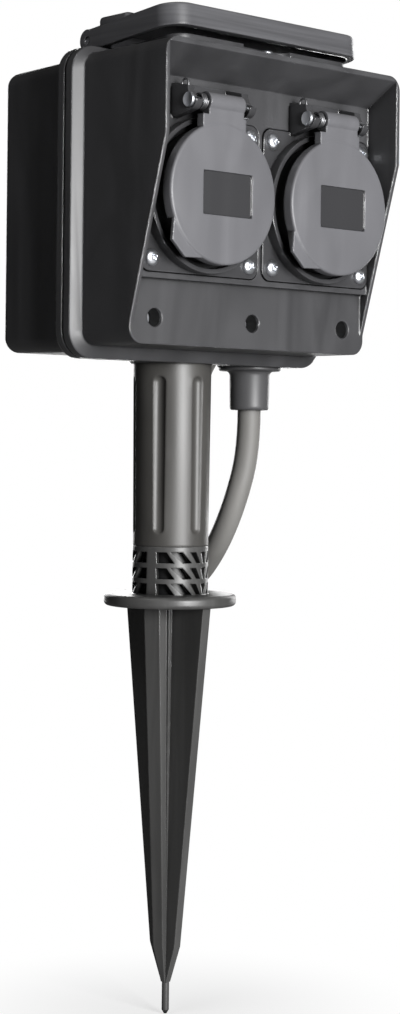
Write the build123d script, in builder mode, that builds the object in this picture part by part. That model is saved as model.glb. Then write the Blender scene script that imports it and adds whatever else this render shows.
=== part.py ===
from build123d import *
import os
from math import cos, pi, radians, sin, sqrt, tan

# Twin garden socket on a ground spike: a two-part housing with a rain hood stands on a hollow post,
# and the post fits over the spigot of a moulded spike. Sizes are in millimetres.
# The origin is the centre of the step disc's underside, which rests on the ground.
# X runs to the right along the housing, Y runs from the sockets to the back, Z is up.

os.makedirs("parts", exist_ok=True)

# Clearances between pieces
SEAT_GAP = 0.1
RUN_GAP = 0.08
FREE_GAP = 0.3
FLAT_GAP = 0.05

# Spike: disc, lattice neck, spigot and four-bladed point
DISC_R = 22.5
DISC_T = 4.0
DISC_EDGE = 1.4
LATTICE_R = 12.9
LATTICE_WALL = 2.2
LATTICE_TOP = 20.3
RING_H = 1.6
RING_ROWS = 3
VEE_ANGLE = -71.0
SPIGOT_R = 9.6
SPIGOT_WALL = 2.0
SPIGOT_TOP = 66.0
NECK_DECK = 3.0
BLADE_REACH = 18.9
BLADE_T = 3.4
RIB_REACH = 8.9
RIB_T = 4.2
WEB_REACH = 3.2
TAPER_LEN = 115.7
BLADE_REACH_LOW = 5.8
RIB_REACH_LOW = 4.0
TIP_NECK_Z = -128.5
TIP_ROD_R = 1.25
TIP_Z = -139.3

# Post: hollow tube with six round-ended flutes
POST_R_TOP = 13.3
POST_R_LOW = 12.8
POST_TOP = 82.1
POST_WALL = 2.6
FLUTE_COUNT = 6
FLUTE_W = 4.2
FLUTE_DEPTH = 1.0
FLUTE_LOW = 24.5
FLUTE_TOP = 77.6

# Housing: front shell with hood, back shell, flange at the seam
TOP_Z = 179.8
LOW_Z = 86.1
CORNER_R = 5.0
WALL = 2.0
HOOD_WALL = 1.5
FLANGE_PROUD = 4.0
FLANGE_TOP = 182.1
FLANGE_LOW = 82.1
FLANGE_R = 9.0
SEAM_Y = -11.1
FLANGE_T = 3.1
FLANGE_SLOPE = 1.6
HOOD_Y = -55.4
HOOD_KNEE_Z = 150.0
HOOD_FOOT_Z = 92.9
PANEL_Y = -42.2
LOWER_PANEL_Y = -39.3
LEDGE_Z = 106.7
ROOF_BACK_Z = 170.5
ROOF_RIM_Z = 178.3
PANEL_T = 2.4
SOCKET_PANEL_T = 4.6
BACK_TOP = 179.0
BACK_LOW = 84.0
BACK_Y = 29.5
BACK_FLANGE_T = 3.2
BACK_EDGE = 4.0
SEAL_T = 0.8

# Case screws in the three holes of the lower panel
CASE_SCREW_INSET = 10.2
CASE_SCREW_Z = 94.5
CASE_HOLE_R = 3.0
CASE_SCREW_R = 1.6
CASE_HEAD_R = 2.7
CASE_HEAD_T = 2.2
CASE_HEAD_DEPTH = 8.0
CASE_GRIP = 9.0
BOSS_WALL = 1.8

# Socket outlets
SOCKET_Z = 133.5
PLATE = 49.6
PLATE_APART = 2.2
SOCKET_X = (PLATE + PLATE_APART) / 2
PLATE_R = 3.5
PLATE_T = 2.0
PLATE_PROUD = 0.4
PLATE_MARGIN = 0.35
GASKET_T = 0.8
SCREW_PITCH = 20.7
PLATE_SCREW_R = 1.5
PLATE_HEAD_R = 2.65
PLATE_HEAD_T = 1.5
PLATE_SCREW_LEN = 9.0
COLLAR_R = 24.6
COLLAR_WALL = 1.4
COLLAR_H = 4.5
BARREL_R = 20.8
BARREL_FRONT = 8.0
WELL_R = 19.75
WELL_DEPTH = 17.5
CARRIER_T = 9.0
BARREL_WALL = 1.6
PIN_PITCH = 19.0
PIN_HOLE_R = 2.5
CONTACT_BORE_R = 2.05
CONTACT_LEN = 14.0
KEY_W = 5.0
KEY_D = 1.7
CLIP_W = 4.0
CLIP_T = 0.8

# Width of the housing: both plates stand side by side between the hood's walls.
PLATE_ROOM = 0.1
HALF_W = SOCKET_X + PLATE / 2 + PLATE_ROOM + HOOD_WALL
BACK_STEP = 0.7
BACK_HALF_W = HALF_W - BACK_STEP
CASE_SCREW_X = HALF_W - CASE_SCREW_INSET

# Lids and their hinges
LID_R = 22.3
LID_FRONT = 11.3
LID_BACK = 7.5
LID_TOP_T = 2.2
LID_SKIRT = 1.4
LID_STRAP_W = 18.2
LID_FIELD_W = 20.8
LID_FIELD_H = 13.8
LID_FIELD_DEPTH = 0.4
LID_EDGE = 0.8
STRAP_LOWER = 0.8
SHOULDER_H = 7.0
HINGE_Y = -51.0
HINGE_Z = 162.0
HINGE_BARREL_R = 3.2
HINGE_X0 = -6.6
HINGE_X1 = 8.2
EAR_TOP = 166.6
EAR_X0 = 10.1
EAR_X1 = 12.8
HINGE_PIN_R = 1.2
PIN_HEAD_R = 2.4
PIN_HEAD_T = 1.0
SPRING_WIRE_R = 0.35
SPRING_CURLS = 3
SPRING_R = 2.2

# Top collar, weather cover and its hinge
COVER_INSET = 9.5
COVER_HALF_W = HALF_W - COVER_INSET
COVER_FRONT_Y = -47.5
COVER_DEPTH = 47.9
COVER_T = 7.2
COVER_LOW_Z = 186.1
COVER_TILT = 5.21
COVER_R = 8.0
COVER_WALL = 2.0
COVER_HINGE_R = 3.0
COVER_PIN_R = 1.1
COLLAR_INSET = 3.8
TOP_COLLAR_HALF_W = COVER_HALF_W - COLLAR_INSET
TOP_COLLAR_FRONT_Y = -45.0
TRAY_HALF_W = 33.0
TRAY_FRONT_Y = -36.5
TRAY_BACK_Y = -17.5
TRAY_FLOOR_Z = 168.0
TRAY_MID_Y = (TRAY_FRONT_Y + TRAY_BACK_Y) / 2
BLOCK_W = 36.0
BLOCK_D = 11.0
BLOCK_H = 8.0
POLE_PITCH = 12.0
CORE_R = 1.4

# Gland, cord, coil and plug
CORD_R = 4.1
GLAND_OUT = 10.2
GLAND_X = SOCKET_X + GLAND_OUT
GLAND_R = 6.3
GLAND_LOW_Z = 67.1
GLAND_BOSS_R = 11.0
GLAND_BOSS_Z = 80.9
COIL_X = 20.0
COIL_Z = 138.5
COIL_R = 48.0
TURN_PITCH = 8.7
LAYER_PITCH = 8.7
COIL_STAND = 1.6
COIL_Y = BACK_Y + COIL_STAND + CORD_R
HOOK_W = 16.0
HOOK_T = 3.0
HOOK_LIP = 7.0
TIE_W = 4.8
TIE_T = 1.0
TIE_GAP = 0.3
TIE_SKEW = 0.4
PLUG_FACE_R = 19.0
PLUG_LEN = 58.0
PLUG_PIN_R = 2.4
PLUG_PIN_LEN = 19.0


def save(piece, name):
    """Labels one finished piece and writes its STEP file."""
    piece.label = name
    export_step(piece, f"parts/{name}.step")


def facing(y):
    """Sketch plane at depth y: its x is the object's X, its y is Z, and it looks to the front."""
    return Plane(origin=(0, y, 0), x_dir=(1, 0, 0), z_dir=(0, -1, 0))


def side(x):
    """Sketch plane across the object at x: its x is the object's Y and its y is Z."""
    return Plane(origin=(x, 0, 0), x_dir=(0, 1, 0), z_dir=(1, 0, 0))


# Spike: cross-shaped point lofted down to a thin rod, step disc, lattice neck and spigot.
LATTICE_ROWS_LOW = DISC_T - 0.6
ROW_PITCH = (LATTICE_TOP - LATTICE_ROWS_LOW - 0.95) / RING_ROWS
WINDOW_H = ROW_PITCH - RING_H

with BuildPart() as spike:
    with BuildSketch(Plane.XY):
        Circle(DISC_R)
    extrude(amount=DISC_T)
    fillet(spike.edges().filter_by(GeomType.CIRCLE), DISC_EDGE)
    with BuildSketch(Plane.XY.offset(DISC_T / 2)):
        Circle(LATTICE_R)
    extrude(amount=LATTICE_TOP - DISC_T / 2)
    with BuildSketch(Plane.XY.offset(LATTICE_TOP)):
        Circle(SPIGOT_R)
    extrude(amount=SPIGOT_TOP - LATTICE_TOP)
    chamfer(spike.faces().sort_by(Axis.Z)[-1].edges(), 1.0)
    with BuildSketch(Plane.XY.offset(DISC_T)):
        Circle(LATTICE_R - LATTICE_WALL)
    extrude(amount=LATTICE_TOP - 2.0 - DISC_T, mode=Mode.SUBTRACT)
    with BuildSketch(Plane.XY.offset(LATTICE_TOP - NECK_DECK)):
        Circle(SPIGOT_R - SPIGOT_WALL)
    extrude(amount=SPIGOT_TOP - LATTICE_TOP + NECK_DECK + 1.0, mode=Mode.SUBTRACT)
    for blade_t, reach_top, reach_low, turned in (
        (BLADE_T, BLADE_REACH, BLADE_REACH_LOW, 0),
        (RIB_T, RIB_REACH, RIB_REACH_LOW, 90),
    ):
        with BuildSketch(Plane.XY.offset(0.5)):
            Rectangle(blade_t, 2 * reach_top, rotation=turned)
        with BuildSketch(Plane.XY.offset(-TAPER_LEN)):
            Rectangle(blade_t * 0.8, 2 * reach_low, rotation=turned)
        loft(ruled=True)
        with BuildSketch(Plane.XY.offset(-TAPER_LEN)):
            Rectangle(blade_t * 0.8, 2 * reach_low, rotation=turned)
        with BuildSketch(Plane.XY.offset(TIP_NECK_Z)):
            Rectangle(TIP_ROD_R * 1.6, 2 * TIP_ROD_R, rotation=turned)
        loft(ruled=True)
    with BuildSketch(Plane.XY.offset(0.5)):
        Rectangle(2 * WEB_REACH, 2 * WEB_REACH)
    with BuildSketch(Plane.XY.offset(-TAPER_LEN)):
        Rectangle(WEB_REACH, WEB_REACH)
    loft(ruled=True)
    with BuildSketch(Plane.XY.offset(TIP_NECK_Z + 4.0)):
        Circle(TIP_ROD_R)
    extrude(amount=TIP_Z + TIP_ROD_R - TIP_NECK_Z - 4.0)
    with BuildSketch(Plane.XY.offset(TIP_Z + TIP_ROD_R)):
        Circle(TIP_ROD_R)
    with BuildSketch(Plane.XY.offset(TIP_Z)):
        Circle(TIP_ROD_R * 0.4)
    loft(ruled=True)


# Windows of the lattice: each is a slanted prism cut outwards through the wall. Angles are measured
# round the neck, at the window's foot and at its top.
def window(z_low, z_top, foot, top):
    """A cutter between two foot angles and two top angles, through the wall of the neck."""
    def outline(z, angles):
        reach = LATTICE_R + 1.0
        inner = LATTICE_R - LATTICE_WALL - 1.0
        a, b = (radians(angle) for angle in angles)
        return [
            (inner * cos(a), inner * sin(a)),
            (reach * cos(a), reach * sin(a)),
            (reach * cos(b) * 1.0, reach * sin(b) * 1.0),
            (inner * cos(b), inner * sin(b)),
        ]

    with BuildPart() as cutter:
        with BuildSketch(Plane.XY.offset(z_low)):
            with BuildLine():
                Polyline(*outline(z_low, foot), close=True)
            make_face()
        with BuildSketch(Plane.XY.offset(z_top)):
            with BuildLine():
                Polyline(*outline(z_top, top), close=True)
            make_face()
        loft(ruled=True)
    return cutter.part


# Foot and top angles of the four windows between the upright rib and the vee.
WINDOWS = (
    ((-152.0, -125.0), (-153.0, -137.0)),
    ((-111.6, -96.3), (-130.9, -112.1)),
    ((-88.3, -79.0), (-100.1, -88.3)),
    ((-73.0, -69.0), (-78.0, -64.5)),
)

cutters = []
for row in range(RING_ROWS):
    row_low = LATTICE_ROWS_LOW + RING_H * 0.5 + row * ROW_PITCH
    for foot, top in WINDOWS:
        for turned in (0.0, 180.0):
            for mirrored in (False, True):
                if mirrored and foot == WINDOWS[3][0]:
                    continue
                axis_angle = 2 * VEE_ANGLE
                pair = []
                for ends in (foot, top):
                    turned_ends = [(axis_angle - end if mirrored else end) + turned for end in ends]
                    pair.append(sorted(turned_ends))
                cutters.append(window(row_low, row_low + WINDOW_H, pair[0], pair[1]))
spike_body = spike.part.cut(*cutters)
save(spike_body, "spike")

# Post: tapered tube over the spigot, with six flutes and a foot that sits on the lattice neck.
with BuildPart() as post:
    with BuildSketch(Plane.XY.offset(LATTICE_TOP + FLAT_GAP)):
        Circle(POST_R_LOW)
    with BuildSketch(Plane.XY.offset(POST_TOP)):
        Circle(POST_R_TOP)
    loft(ruled=True)
    with BuildSketch(Plane.XY.offset(LATTICE_TOP - 1.0)):
        Circle(SPIGOT_R + SEAT_GAP)
    extrude(amount=SPIGOT_TOP + FREE_GAP + 1.0 - LATTICE_TOP, mode=Mode.SUBTRACT)
    with BuildSketch(Plane.XY.offset(SPIGOT_TOP - 1.0)):
        Circle(SPIGOT_R - SPIGOT_WALL)
    extrude(amount=POST_TOP - SPIGOT_TOP - POST_WALL, mode=Mode.SUBTRACT)
    for step in range(FLUTE_COUNT):
        angle = radians(-90.0 + step * 360.0 / FLUTE_COUNT)
        flute_r = FLUTE_W / 2 + 0.4
        reach = POST_R_LOW + flute_r - FLUTE_DEPTH
        with BuildSketch(Plane.XY.offset(FLUTE_LOW + FLUTE_W / 2)):
            with Locations((reach * cos(angle), reach * sin(angle))):
                Circle(flute_r)
        extrude(amount=FLUTE_TOP - FLUTE_LOW - FLUTE_W, mode=Mode.SUBTRACT)
        for end_z in (FLUTE_LOW + FLUTE_W / 2, FLUTE_TOP - FLUTE_W / 2):
            with Locations((reach * cos(angle), reach * sin(angle), end_z)):
                Sphere(flute_r, mode=Mode.SUBTRACT)
save(post.part, "post")

# Screw that locks the post on the housing: it passes up through the post's closed top.
POST_SCREW_R = 2.0
with BuildPart() as post_screw:
    with BuildSketch(Plane.XY.offset(POST_TOP - POST_WALL - 1.0 - 3.0)):
        Circle(2 * POST_SCREW_R)
    extrude(amount=3.0)
save(post_screw.part, "post_screw")


# Front shell: rounded box with a rain hood, sloped roof, stepped panel and half of the seam flange.
def rounded(half_w, low, top, radius):
    """Adds the housing's rounded outline to the sketch in hand."""
    with Locations((0, (low + top) / 2)):
        RectangleRounded(2 * half_w, top - low, radius)


ROOF_SLOPE = (ROOF_RIM_Z - ROOF_BACK_Z) / (PANEL_Y - HOOD_Y)
POCKET_T = PLATE_T - PLATE_PROUD + GASKET_T
BODY_HOLE_R = BARREL_R + BARREL_WALL + 0.5
BOSS_R = CASE_HOLE_R + BOSS_WALL
BEYOND = 10.0

with BuildPart() as front_shell:
    with BuildSketch(facing(SEAM_Y)):
        rounded(HALF_W, LOW_Z, TOP_Z, CORNER_R)
    extrude(amount=SEAM_Y - HOOD_Y)
    with BuildSketch(facing(SEAM_Y)):
        rounded(HALF_W + FLANGE_PROUD, FLANGE_LOW, FLANGE_TOP, FLANGE_R)
    extrude(amount=FLANGE_T)
    with BuildSketch(facing(SEAM_Y - FLANGE_T)):
        rounded(HALF_W + FLANGE_PROUD, FLANGE_LOW, FLANGE_TOP, FLANGE_R)
    with BuildSketch(facing(SEAM_Y - FLANGE_T - FLANGE_SLOPE)):
        rounded(HALF_W, LOW_Z - 0.6, TOP_Z + 0.3, CORNER_R)
    loft(ruled=True)
    # hood's side edges: upright above the knee, slanting back to the lower panel below it
    with BuildSketch(side(-HALF_W - BEYOND)):
        Polygon(
            (HOOD_Y, HOOD_KNEE_Z),
            (LOWER_PANEL_Y, HOOD_FOOT_Z),
            (LOWER_PANEL_Y, LOW_Z - BEYOND),
            (HOOD_Y - BEYOND, LOW_Z - BEYOND),
            (HOOD_Y - BEYOND, HOOD_KNEE_Z),
            align=None,
        )
    extrude(amount=2 * (HALF_W + BEYOND), mode=Mode.SUBTRACT)
    # space under the hood, down to the socket panel and the lower panel
    with BuildSketch(side(-HALF_W + HOOD_WALL)):
        Polygon(
            (PANEL_Y, LEDGE_Z),
            (PANEL_Y, ROOF_BACK_Z),
            (HOOD_Y - BEYOND, ROOF_RIM_Z + BEYOND * ROOF_SLOPE),
            (HOOD_Y - BEYOND, LOW_Z - BEYOND),
            (LOWER_PANEL_Y, LOW_Z - BEYOND),
            (LOWER_PANEL_Y, LEDGE_Z),
            align=None,
        )
    extrude(amount=2 * (HALF_W - HOOD_WALL), mode=Mode.SUBTRACT)
    # hollow behind the panels
    for low, top, back_of_panel in (
        (LOW_Z + WALL, LEDGE_Z + PANEL_T, LOWER_PANEL_Y + PANEL_T),
        (LEDGE_Z, TOP_Z - WALL, PANEL_Y + SOCKET_PANEL_T),
    ):
        with BuildSketch(facing(SEAM_Y + 1.0)):
            rounded(HALF_W - WALL, low, top, 1.0)
        extrude(amount=SEAM_Y + 1.0 - back_of_panel, mode=Mode.SUBTRACT)
    # bosses of the case screws
    with BuildSketch(facing(SEAM_Y - 1.0)):
        with Locations(*((x, CASE_SCREW_Z) for x in (-CASE_SCREW_X, 0, CASE_SCREW_X))):
            Circle(BOSS_R)
    extrude(amount=SEAM_Y - 1.0 - LOWER_PANEL_Y)
    with BuildSketch(facing(LOWER_PANEL_Y - 1.0)):
        with Locations(*((x, CASE_SCREW_Z) for x in (-CASE_SCREW_X, 0, CASE_SCREW_X))):
            Circle(CASE_HOLE_R)
    extrude(amount=-CASE_HEAD_DEPTH - 1.0, mode=Mode.SUBTRACT)
    with BuildSketch(facing(LOWER_PANEL_Y)):
        with Locations(*((x, CASE_SCREW_Z) for x in (-CASE_SCREW_X, 0, CASE_SCREW_X))):
            Circle(CASE_SCREW_R + SEAT_GAP)
    extrude(amount=-(SEAM_Y - LOWER_PANEL_Y) - BEYOND, mode=Mode.SUBTRACT)
    for socket_x in (-SOCKET_X, SOCKET_X):
        with BuildSketch(facing(PANEL_Y)):
            with Locations((socket_x, SOCKET_Z)):
                RectangleRounded(PLATE + 2 * PLATE_MARGIN, PLATE + 2 * PLATE_MARGIN, PLATE_R)
        extrude(amount=-POCKET_T, mode=Mode.SUBTRACT)
        with BuildSketch(facing(PANEL_Y)):
            with Locations((socket_x, (SOCKET_Z + EAR_TOP + PLATE_MARGIN) / 2)):
                Rectangle(2 * (EAR_X1 + PLATE_MARGIN), EAR_TOP + PLATE_MARGIN - SOCKET_Z)
        extrude(amount=-PLATE_T + PLATE_PROUD - FREE_GAP, mode=Mode.SUBTRACT)
        with BuildSketch(facing(PANEL_Y)):
            with Locations((socket_x, SOCKET_Z)):
                Circle(BODY_HOLE_R)
        extrude(amount=-SOCKET_PANEL_T - 1.0, mode=Mode.SUBTRACT)
        with BuildSketch(facing(PANEL_Y)):
            with Locations((socket_x, SOCKET_Z)):
                with GridLocations(2 * SCREW_PITCH, 2 * SCREW_PITCH, 2, 2):
                    Circle(PLATE_SCREW_R)
        extrude(amount=-SOCKET_PANEL_T - 1.0, mode=Mode.SUBTRACT)
    # opening in the top for the terminal tray
    with BuildSketch(Plane.XY.offset(TOP_Z - WALL - 1.0)):
        with Locations((0, (TRAY_FRONT_Y + TRAY_BACK_Y) / 2)):
            RectangleRounded(2 * TRAY_HALF_W + 1.0, TRAY_BACK_Y - TRAY_FRONT_Y + 1.0, 2.0)
    extrude(amount=WALL + 2.0, mode=Mode.SUBTRACT)
save(front_shell.part, "front_shell")

# Back shell: rounded box, drafted towards the back, with its half of the flange and a cord hook.
HOOK_Z = COIL_Z + COIL_R - 1.5 * TURN_PITCH - CORD_R - 0.4
with BuildPart() as back_shell:
    with BuildSketch(facing(BACK_Y)):
        rounded(BACK_HALF_W - 0.8, BACK_LOW + 0.8, BACK_TOP - 0.8, CORNER_R)
    with BuildSketch(facing(SEAM_Y + SEAL_T)):
        rounded(BACK_HALF_W, BACK_LOW, BACK_TOP, CORNER_R)
    loft(ruled=True)
    fillet(back_shell.faces().sort_by(Axis.Y)[-1].edges(), BACK_EDGE)
    with BuildSketch(facing(SEAM_Y + SEAL_T + BACK_FLANGE_T)):
        rounded(HALF_W + FLANGE_PROUD, FLANGE_LOW, FLANGE_TOP, FLANGE_R)
    extrude(amount=BACK_FLANGE_T)
    with BuildSketch(facing(BACK_Y - WALL)):
        rounded(BACK_HALF_W - 0.8 - WALL, BACK_LOW + 0.8 + WALL, BACK_TOP - 0.8 - WALL, 4.0)
    with BuildSketch(facing(SEAM_Y)):
        rounded(BACK_HALF_W - WALL, BACK_LOW + WALL, BACK_TOP - WALL, 4.0)
    loft(ruled=True, mode=Mode.SUBTRACT)
    with BuildSketch(facing(BACK_Y - 1.0)):
        with Locations(*((x, CASE_SCREW_Z) for x in (-CASE_SCREW_X, 0, CASE_SCREW_X))):
            Circle(CASE_SCREW_R + BOSS_WALL)
    extrude(amount=BACK_Y - 1.0 - SEAM_Y - SEAL_T)
    with BuildSketch(facing(SEAM_Y - 1.0)):
        with Locations(*((x, CASE_SCREW_Z) for x in (-CASE_SCREW_X, 0, CASE_SCREW_X))):
            Circle(CASE_SCREW_R + SEAT_GAP)
    extrude(amount=-20.0, mode=Mode.SUBTRACT)
    # pads that the post and the gland seat against
    with BuildSketch(Plane.XY.offset(POST_TOP + FLAT_GAP)):
        Circle(POST_R_TOP + 1.4)
        with Locations((GLAND_X, 0)):
            Circle(GLAND_BOSS_R + 0.6)
    extrude(amount=BACK_LOW + 1.0 - POST_TOP - FLAT_GAP)
    with BuildSketch(facing(SEAM_Y + SEAL_T)):
        with Locations((0, POST_TOP)):
            Rectangle(3 * HALF_W, 4 * FLANGE_PROUD)
    extrude(amount=BEYOND, mode=Mode.SUBTRACT)
    # cord hook on the back wall, with an upturned lip behind the coil
    with BuildSketch(side(COIL_X - HOOK_W / 2)):
        Polygon(
            (BACK_Y - 1.0, HOOK_Z - HOOK_T),
            (BACK_Y + 2 * LAYER_PITCH + HOOK_T + 1.2, HOOK_Z - HOOK_T),
            (BACK_Y + 2 * LAYER_PITCH + HOOK_T + 1.2, HOOK_Z + HOOK_LIP),
            (BACK_Y + 2 * LAYER_PITCH + 1.2, HOOK_Z + HOOK_LIP),
            (BACK_Y + 2 * LAYER_PITCH + 1.2, HOOK_Z),
            (BACK_Y - 1.0, HOOK_Z),
            align=None,
        )
    extrude(amount=HOOK_W)
save(back_shell.part, "back_shell")

# Seal cord between the two shells, pinched in the flange.
with BuildPart() as shell_seal:
    with BuildSketch(facing(SEAM_Y + SEAL_T - FLAT_GAP)):
        rounded(HALF_W + 1.8, FLANGE_LOW + 2.4, FLANGE_TOP - 2.4, 7.0)
    extrude(amount=SEAL_T - 2 * FLAT_GAP)
    with BuildSketch(facing(SEAM_Y + SEAL_T)):
        rounded(HALF_W - WALL + 0.6, LOW_Z - 0.2, TOP_Z - 0.2, 4.0)
    extrude(amount=SEAL_T + 1.0, mode=Mode.SUBTRACT)
save(shell_seal.part, "shell_seal")

# Case screws, deep in their holes.
CASE_HEAD_Y = LOWER_PANEL_Y + CASE_HEAD_DEPTH - FLAT_GAP
with BuildPart() as case_screws:
    with BuildSketch(facing(CASE_HEAD_Y)):
        with Locations(*((x, CASE_SCREW_Z) for x in (-CASE_SCREW_X, 0, CASE_SCREW_X))):
            Circle(CASE_HEAD_R)
    extrude(amount=CASE_HEAD_T)
    with BuildSketch(facing(CASE_HEAD_Y)):
        with Locations(*((x, CASE_SCREW_Z) for x in (-CASE_SCREW_X, 0, CASE_SCREW_X))):
            Circle(CASE_SCREW_R)
    extrude(amount=-(SEAM_Y - CASE_HEAD_Y) - CASE_GRIP)
save(case_screws.part, "case_screws")

# Socket outlets, one for each side
PLATE_FRONT_Y = PANEL_Y - PLATE_PROUD
PLATE_BACK_Y = PLATE_FRONT_Y + PLATE_T
BARREL_FRONT_Y = PANEL_Y - BARREL_FRONT
WELL_FLOOR_Y = BARREL_FRONT_Y + WELL_DEPTH
BARREL_BACK_Y = WELL_FLOOR_Y + CARRIER_T
COLLAR_FRONT_Y = PANEL_Y - COLLAR_H
EAR_NOSE_R = 3.0
CARRIER_FRONT_Y = WELL_FLOOR_Y + SEAT_GAP


def at(x, z):
    return Locations((x, z))


def socket_front(cx):
    """Square plate with collar ring, round well and the two ears of the lid's hinge."""
    with BuildPart() as front:
        with BuildSketch(facing(PLATE_BACK_Y)):
            with at(cx, SOCKET_Z):
                RectangleRounded(PLATE, PLATE, PLATE_R)
        extrude(amount=PLATE_T)
        with BuildSketch(facing(PLATE_BACK_Y)):
            with at(cx, SOCKET_Z):
                Circle(COLLAR_R)
                Circle(COLLAR_R - COLLAR_WALL, mode=Mode.SUBTRACT)
        extrude(amount=PLATE_BACK_Y - COLLAR_FRONT_Y)
        with BuildSketch(facing(BARREL_BACK_Y)):
            with at(cx, SOCKET_Z):
                Circle(BARREL_R)
        extrude(amount=BARREL_BACK_Y - BARREL_FRONT_Y)
        fillet(front.faces().sort_by(Axis.Y)[0].edges(), 0.4)
        # ears: plates that reach forward from the top of the plate to the hinge pin
        for ear_x in (-EAR_X1, EAR_X0):
            with BuildSketch(side(cx + ear_x)):
                with BuildLine():
                    Line((PLATE_BACK_Y, HINGE_Z - 5.2), (PLATE_BACK_Y, EAR_TOP))
                    Line((PLATE_BACK_Y, EAR_TOP), (HINGE_Y + 1.0, EAR_TOP))
                    RadiusArc((HINGE_Y + 1.0, EAR_TOP), (HINGE_Y - EAR_NOSE_R, HINGE_Z), 4.6)
                    ThreePointArc(
                        (HINGE_Y - EAR_NOSE_R, HINGE_Z),
                        (HINGE_Y - EAR_NOSE_R * 0.7, HINGE_Z - EAR_NOSE_R * 0.75),
                        (HINGE_Y, HINGE_Z - EAR_NOSE_R - 0.2),
                    )
                    Line((HINGE_Y, HINGE_Z - EAR_NOSE_R - 0.2), (PLATE_BACK_Y, HINGE_Z - 5.2))
                make_face()
            extrude(amount=EAR_X1 - EAR_X0)
        # foot of the ears above the plate
        with BuildSketch(facing(PLATE_BACK_Y)):
            with at(cx, (SOCKET_Z + PLATE / 2 + EAR_TOP) / 2 - 1.0):
                Rectangle(2 * EAR_X1, EAR_TOP - SOCKET_Z - PLATE / 2 + 2.0)
        extrude(amount=PLATE_T)
        # hinge pin bore through both ears
        with BuildSketch(side(cx - EAR_X1 - 1.0)):
            with Locations((HINGE_Y, HINGE_Z)):
                Circle(HINGE_PIN_R + 0.03)
        extrude(amount=2 * EAR_X1 + 2.0, mode=Mode.SUBTRACT)
        # well, bore of the carrier behind it
        with BuildSketch(facing(BARREL_BACK_Y + 1.0)):
            with at(cx, SOCKET_Z):
                Circle(BARREL_R - BARREL_WALL)
        extrude(amount=BARREL_BACK_Y + 1.0 - WELL_FLOOR_Y, mode=Mode.SUBTRACT)
        with BuildSketch(facing(WELL_FLOOR_Y + 1.0)):
            with at(cx, SOCKET_Z):
                Circle(WELL_R)
        extrude(amount=WELL_DEPTH + BEYOND, mode=Mode.SUBTRACT)
        # guides at both sides of the well
        for hand in (-1, 1):
            with BuildSketch(facing(WELL_FLOOR_Y)):
                with at(cx + hand * (WELL_R - KEY_D / 2 + 0.3), SOCKET_Z):
                    Rectangle(KEY_D + 0.6, KEY_W)
            extrude(amount=WELL_DEPTH - 2.0)
        with BuildSketch(facing(PLATE_FRONT_Y - 1.0)):
            with at(cx, SOCKET_Z):
                with GridLocations(2 * SCREW_PITCH, 2 * SCREW_PITCH, 2, 2):
                    Circle(PLATE_SCREW_R + SEAT_GAP)
        extrude(amount=-PLATE_T - 2.0, mode=Mode.SUBTRACT)
    return front.part


def contact_carrier(cx):
    """Insulating disc on the well's floor, with the two pin holes and seats for the contacts."""
    with BuildPart() as carrier:
        with BuildSketch(facing(BARREL_BACK_Y)):
            with at(cx, SOCKET_Z):
                Circle(BARREL_R - BARREL_WALL - SEAT_GAP)
        extrude(amount=BARREL_BACK_Y - CARRIER_FRONT_Y)
        with BuildSketch(facing(CARRIER_FRONT_Y)):
            with at(cx, SOCKET_Z):
                with GridLocations(PIN_PITCH, 1, 2, 1):
                    Circle(PIN_HOLE_R)
        extrude(amount=-CARRIER_T - BEYOND, mode=Mode.SUBTRACT)
    return carrier.part


def line_contacts(cx):
    """Two turned brass sleeves behind the pin holes."""
    with BuildPart() as contacts:
        with BuildSketch(facing(CARRIER_FRONT_Y + 1.5)):
            with at(cx, SOCKET_Z):
                with GridLocations(PIN_PITCH, 1, 2, 1):
                    Circle(PIN_HOLE_R - FLAT_GAP)
                    Circle(CONTACT_BORE_R, mode=Mode.SUBTRACT)
        extrude(amount=-CONTACT_LEN)
    return contacts.part


def earth_clip(cx):
    """Bent strip with a springy finger at the top and the bottom of the well."""
    reach = WELL_R - CLIP_T - 0.1
    floor_y = WELL_FLOOR_Y - FLAT_GAP
    with BuildPart() as clip:
        for hand in (-1, 1):
            with BuildSketch(side(cx - CLIP_W / 2)):
                finger_z = SOCKET_Z + hand * (reach + CLIP_T / 2 - 0.5)
                with Locations((floor_y - (WELL_DEPTH - 5.0) / 2, finger_z)):
                    Rectangle(WELL_DEPTH - 5.0, CLIP_T)
            extrude(amount=CLIP_W)
        with BuildSketch(facing(floor_y)):
            with at(cx, SOCKET_Z):
                Rectangle(CLIP_W, 2 * (reach + CLIP_T - 0.5))
        extrude(amount=CLIP_T)
    return clip.part


def plate_gasket(cx):
    """Thin rubber frame round the body hole, behind the socket's plate."""
    with BuildPart() as gasket:
        with BuildSketch(facing(PANEL_Y + POCKET_T - FLAT_GAP)):
            with at(cx, SOCKET_Z):
                RectangleRounded(PLATE - 2.0, PLATE - 2.0, 2.0)
                Circle(BODY_HOLE_R, mode=Mode.SUBTRACT)
                with GridLocations(2 * SCREW_PITCH, 2 * SCREW_PITCH, 2, 2):
                    Circle(PLATE_SCREW_R + 0.3, mode=Mode.SUBTRACT)
        extrude(amount=PANEL_Y + POCKET_T - PLATE_BACK_Y - 2 * FLAT_GAP)
    return gasket.part


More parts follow.
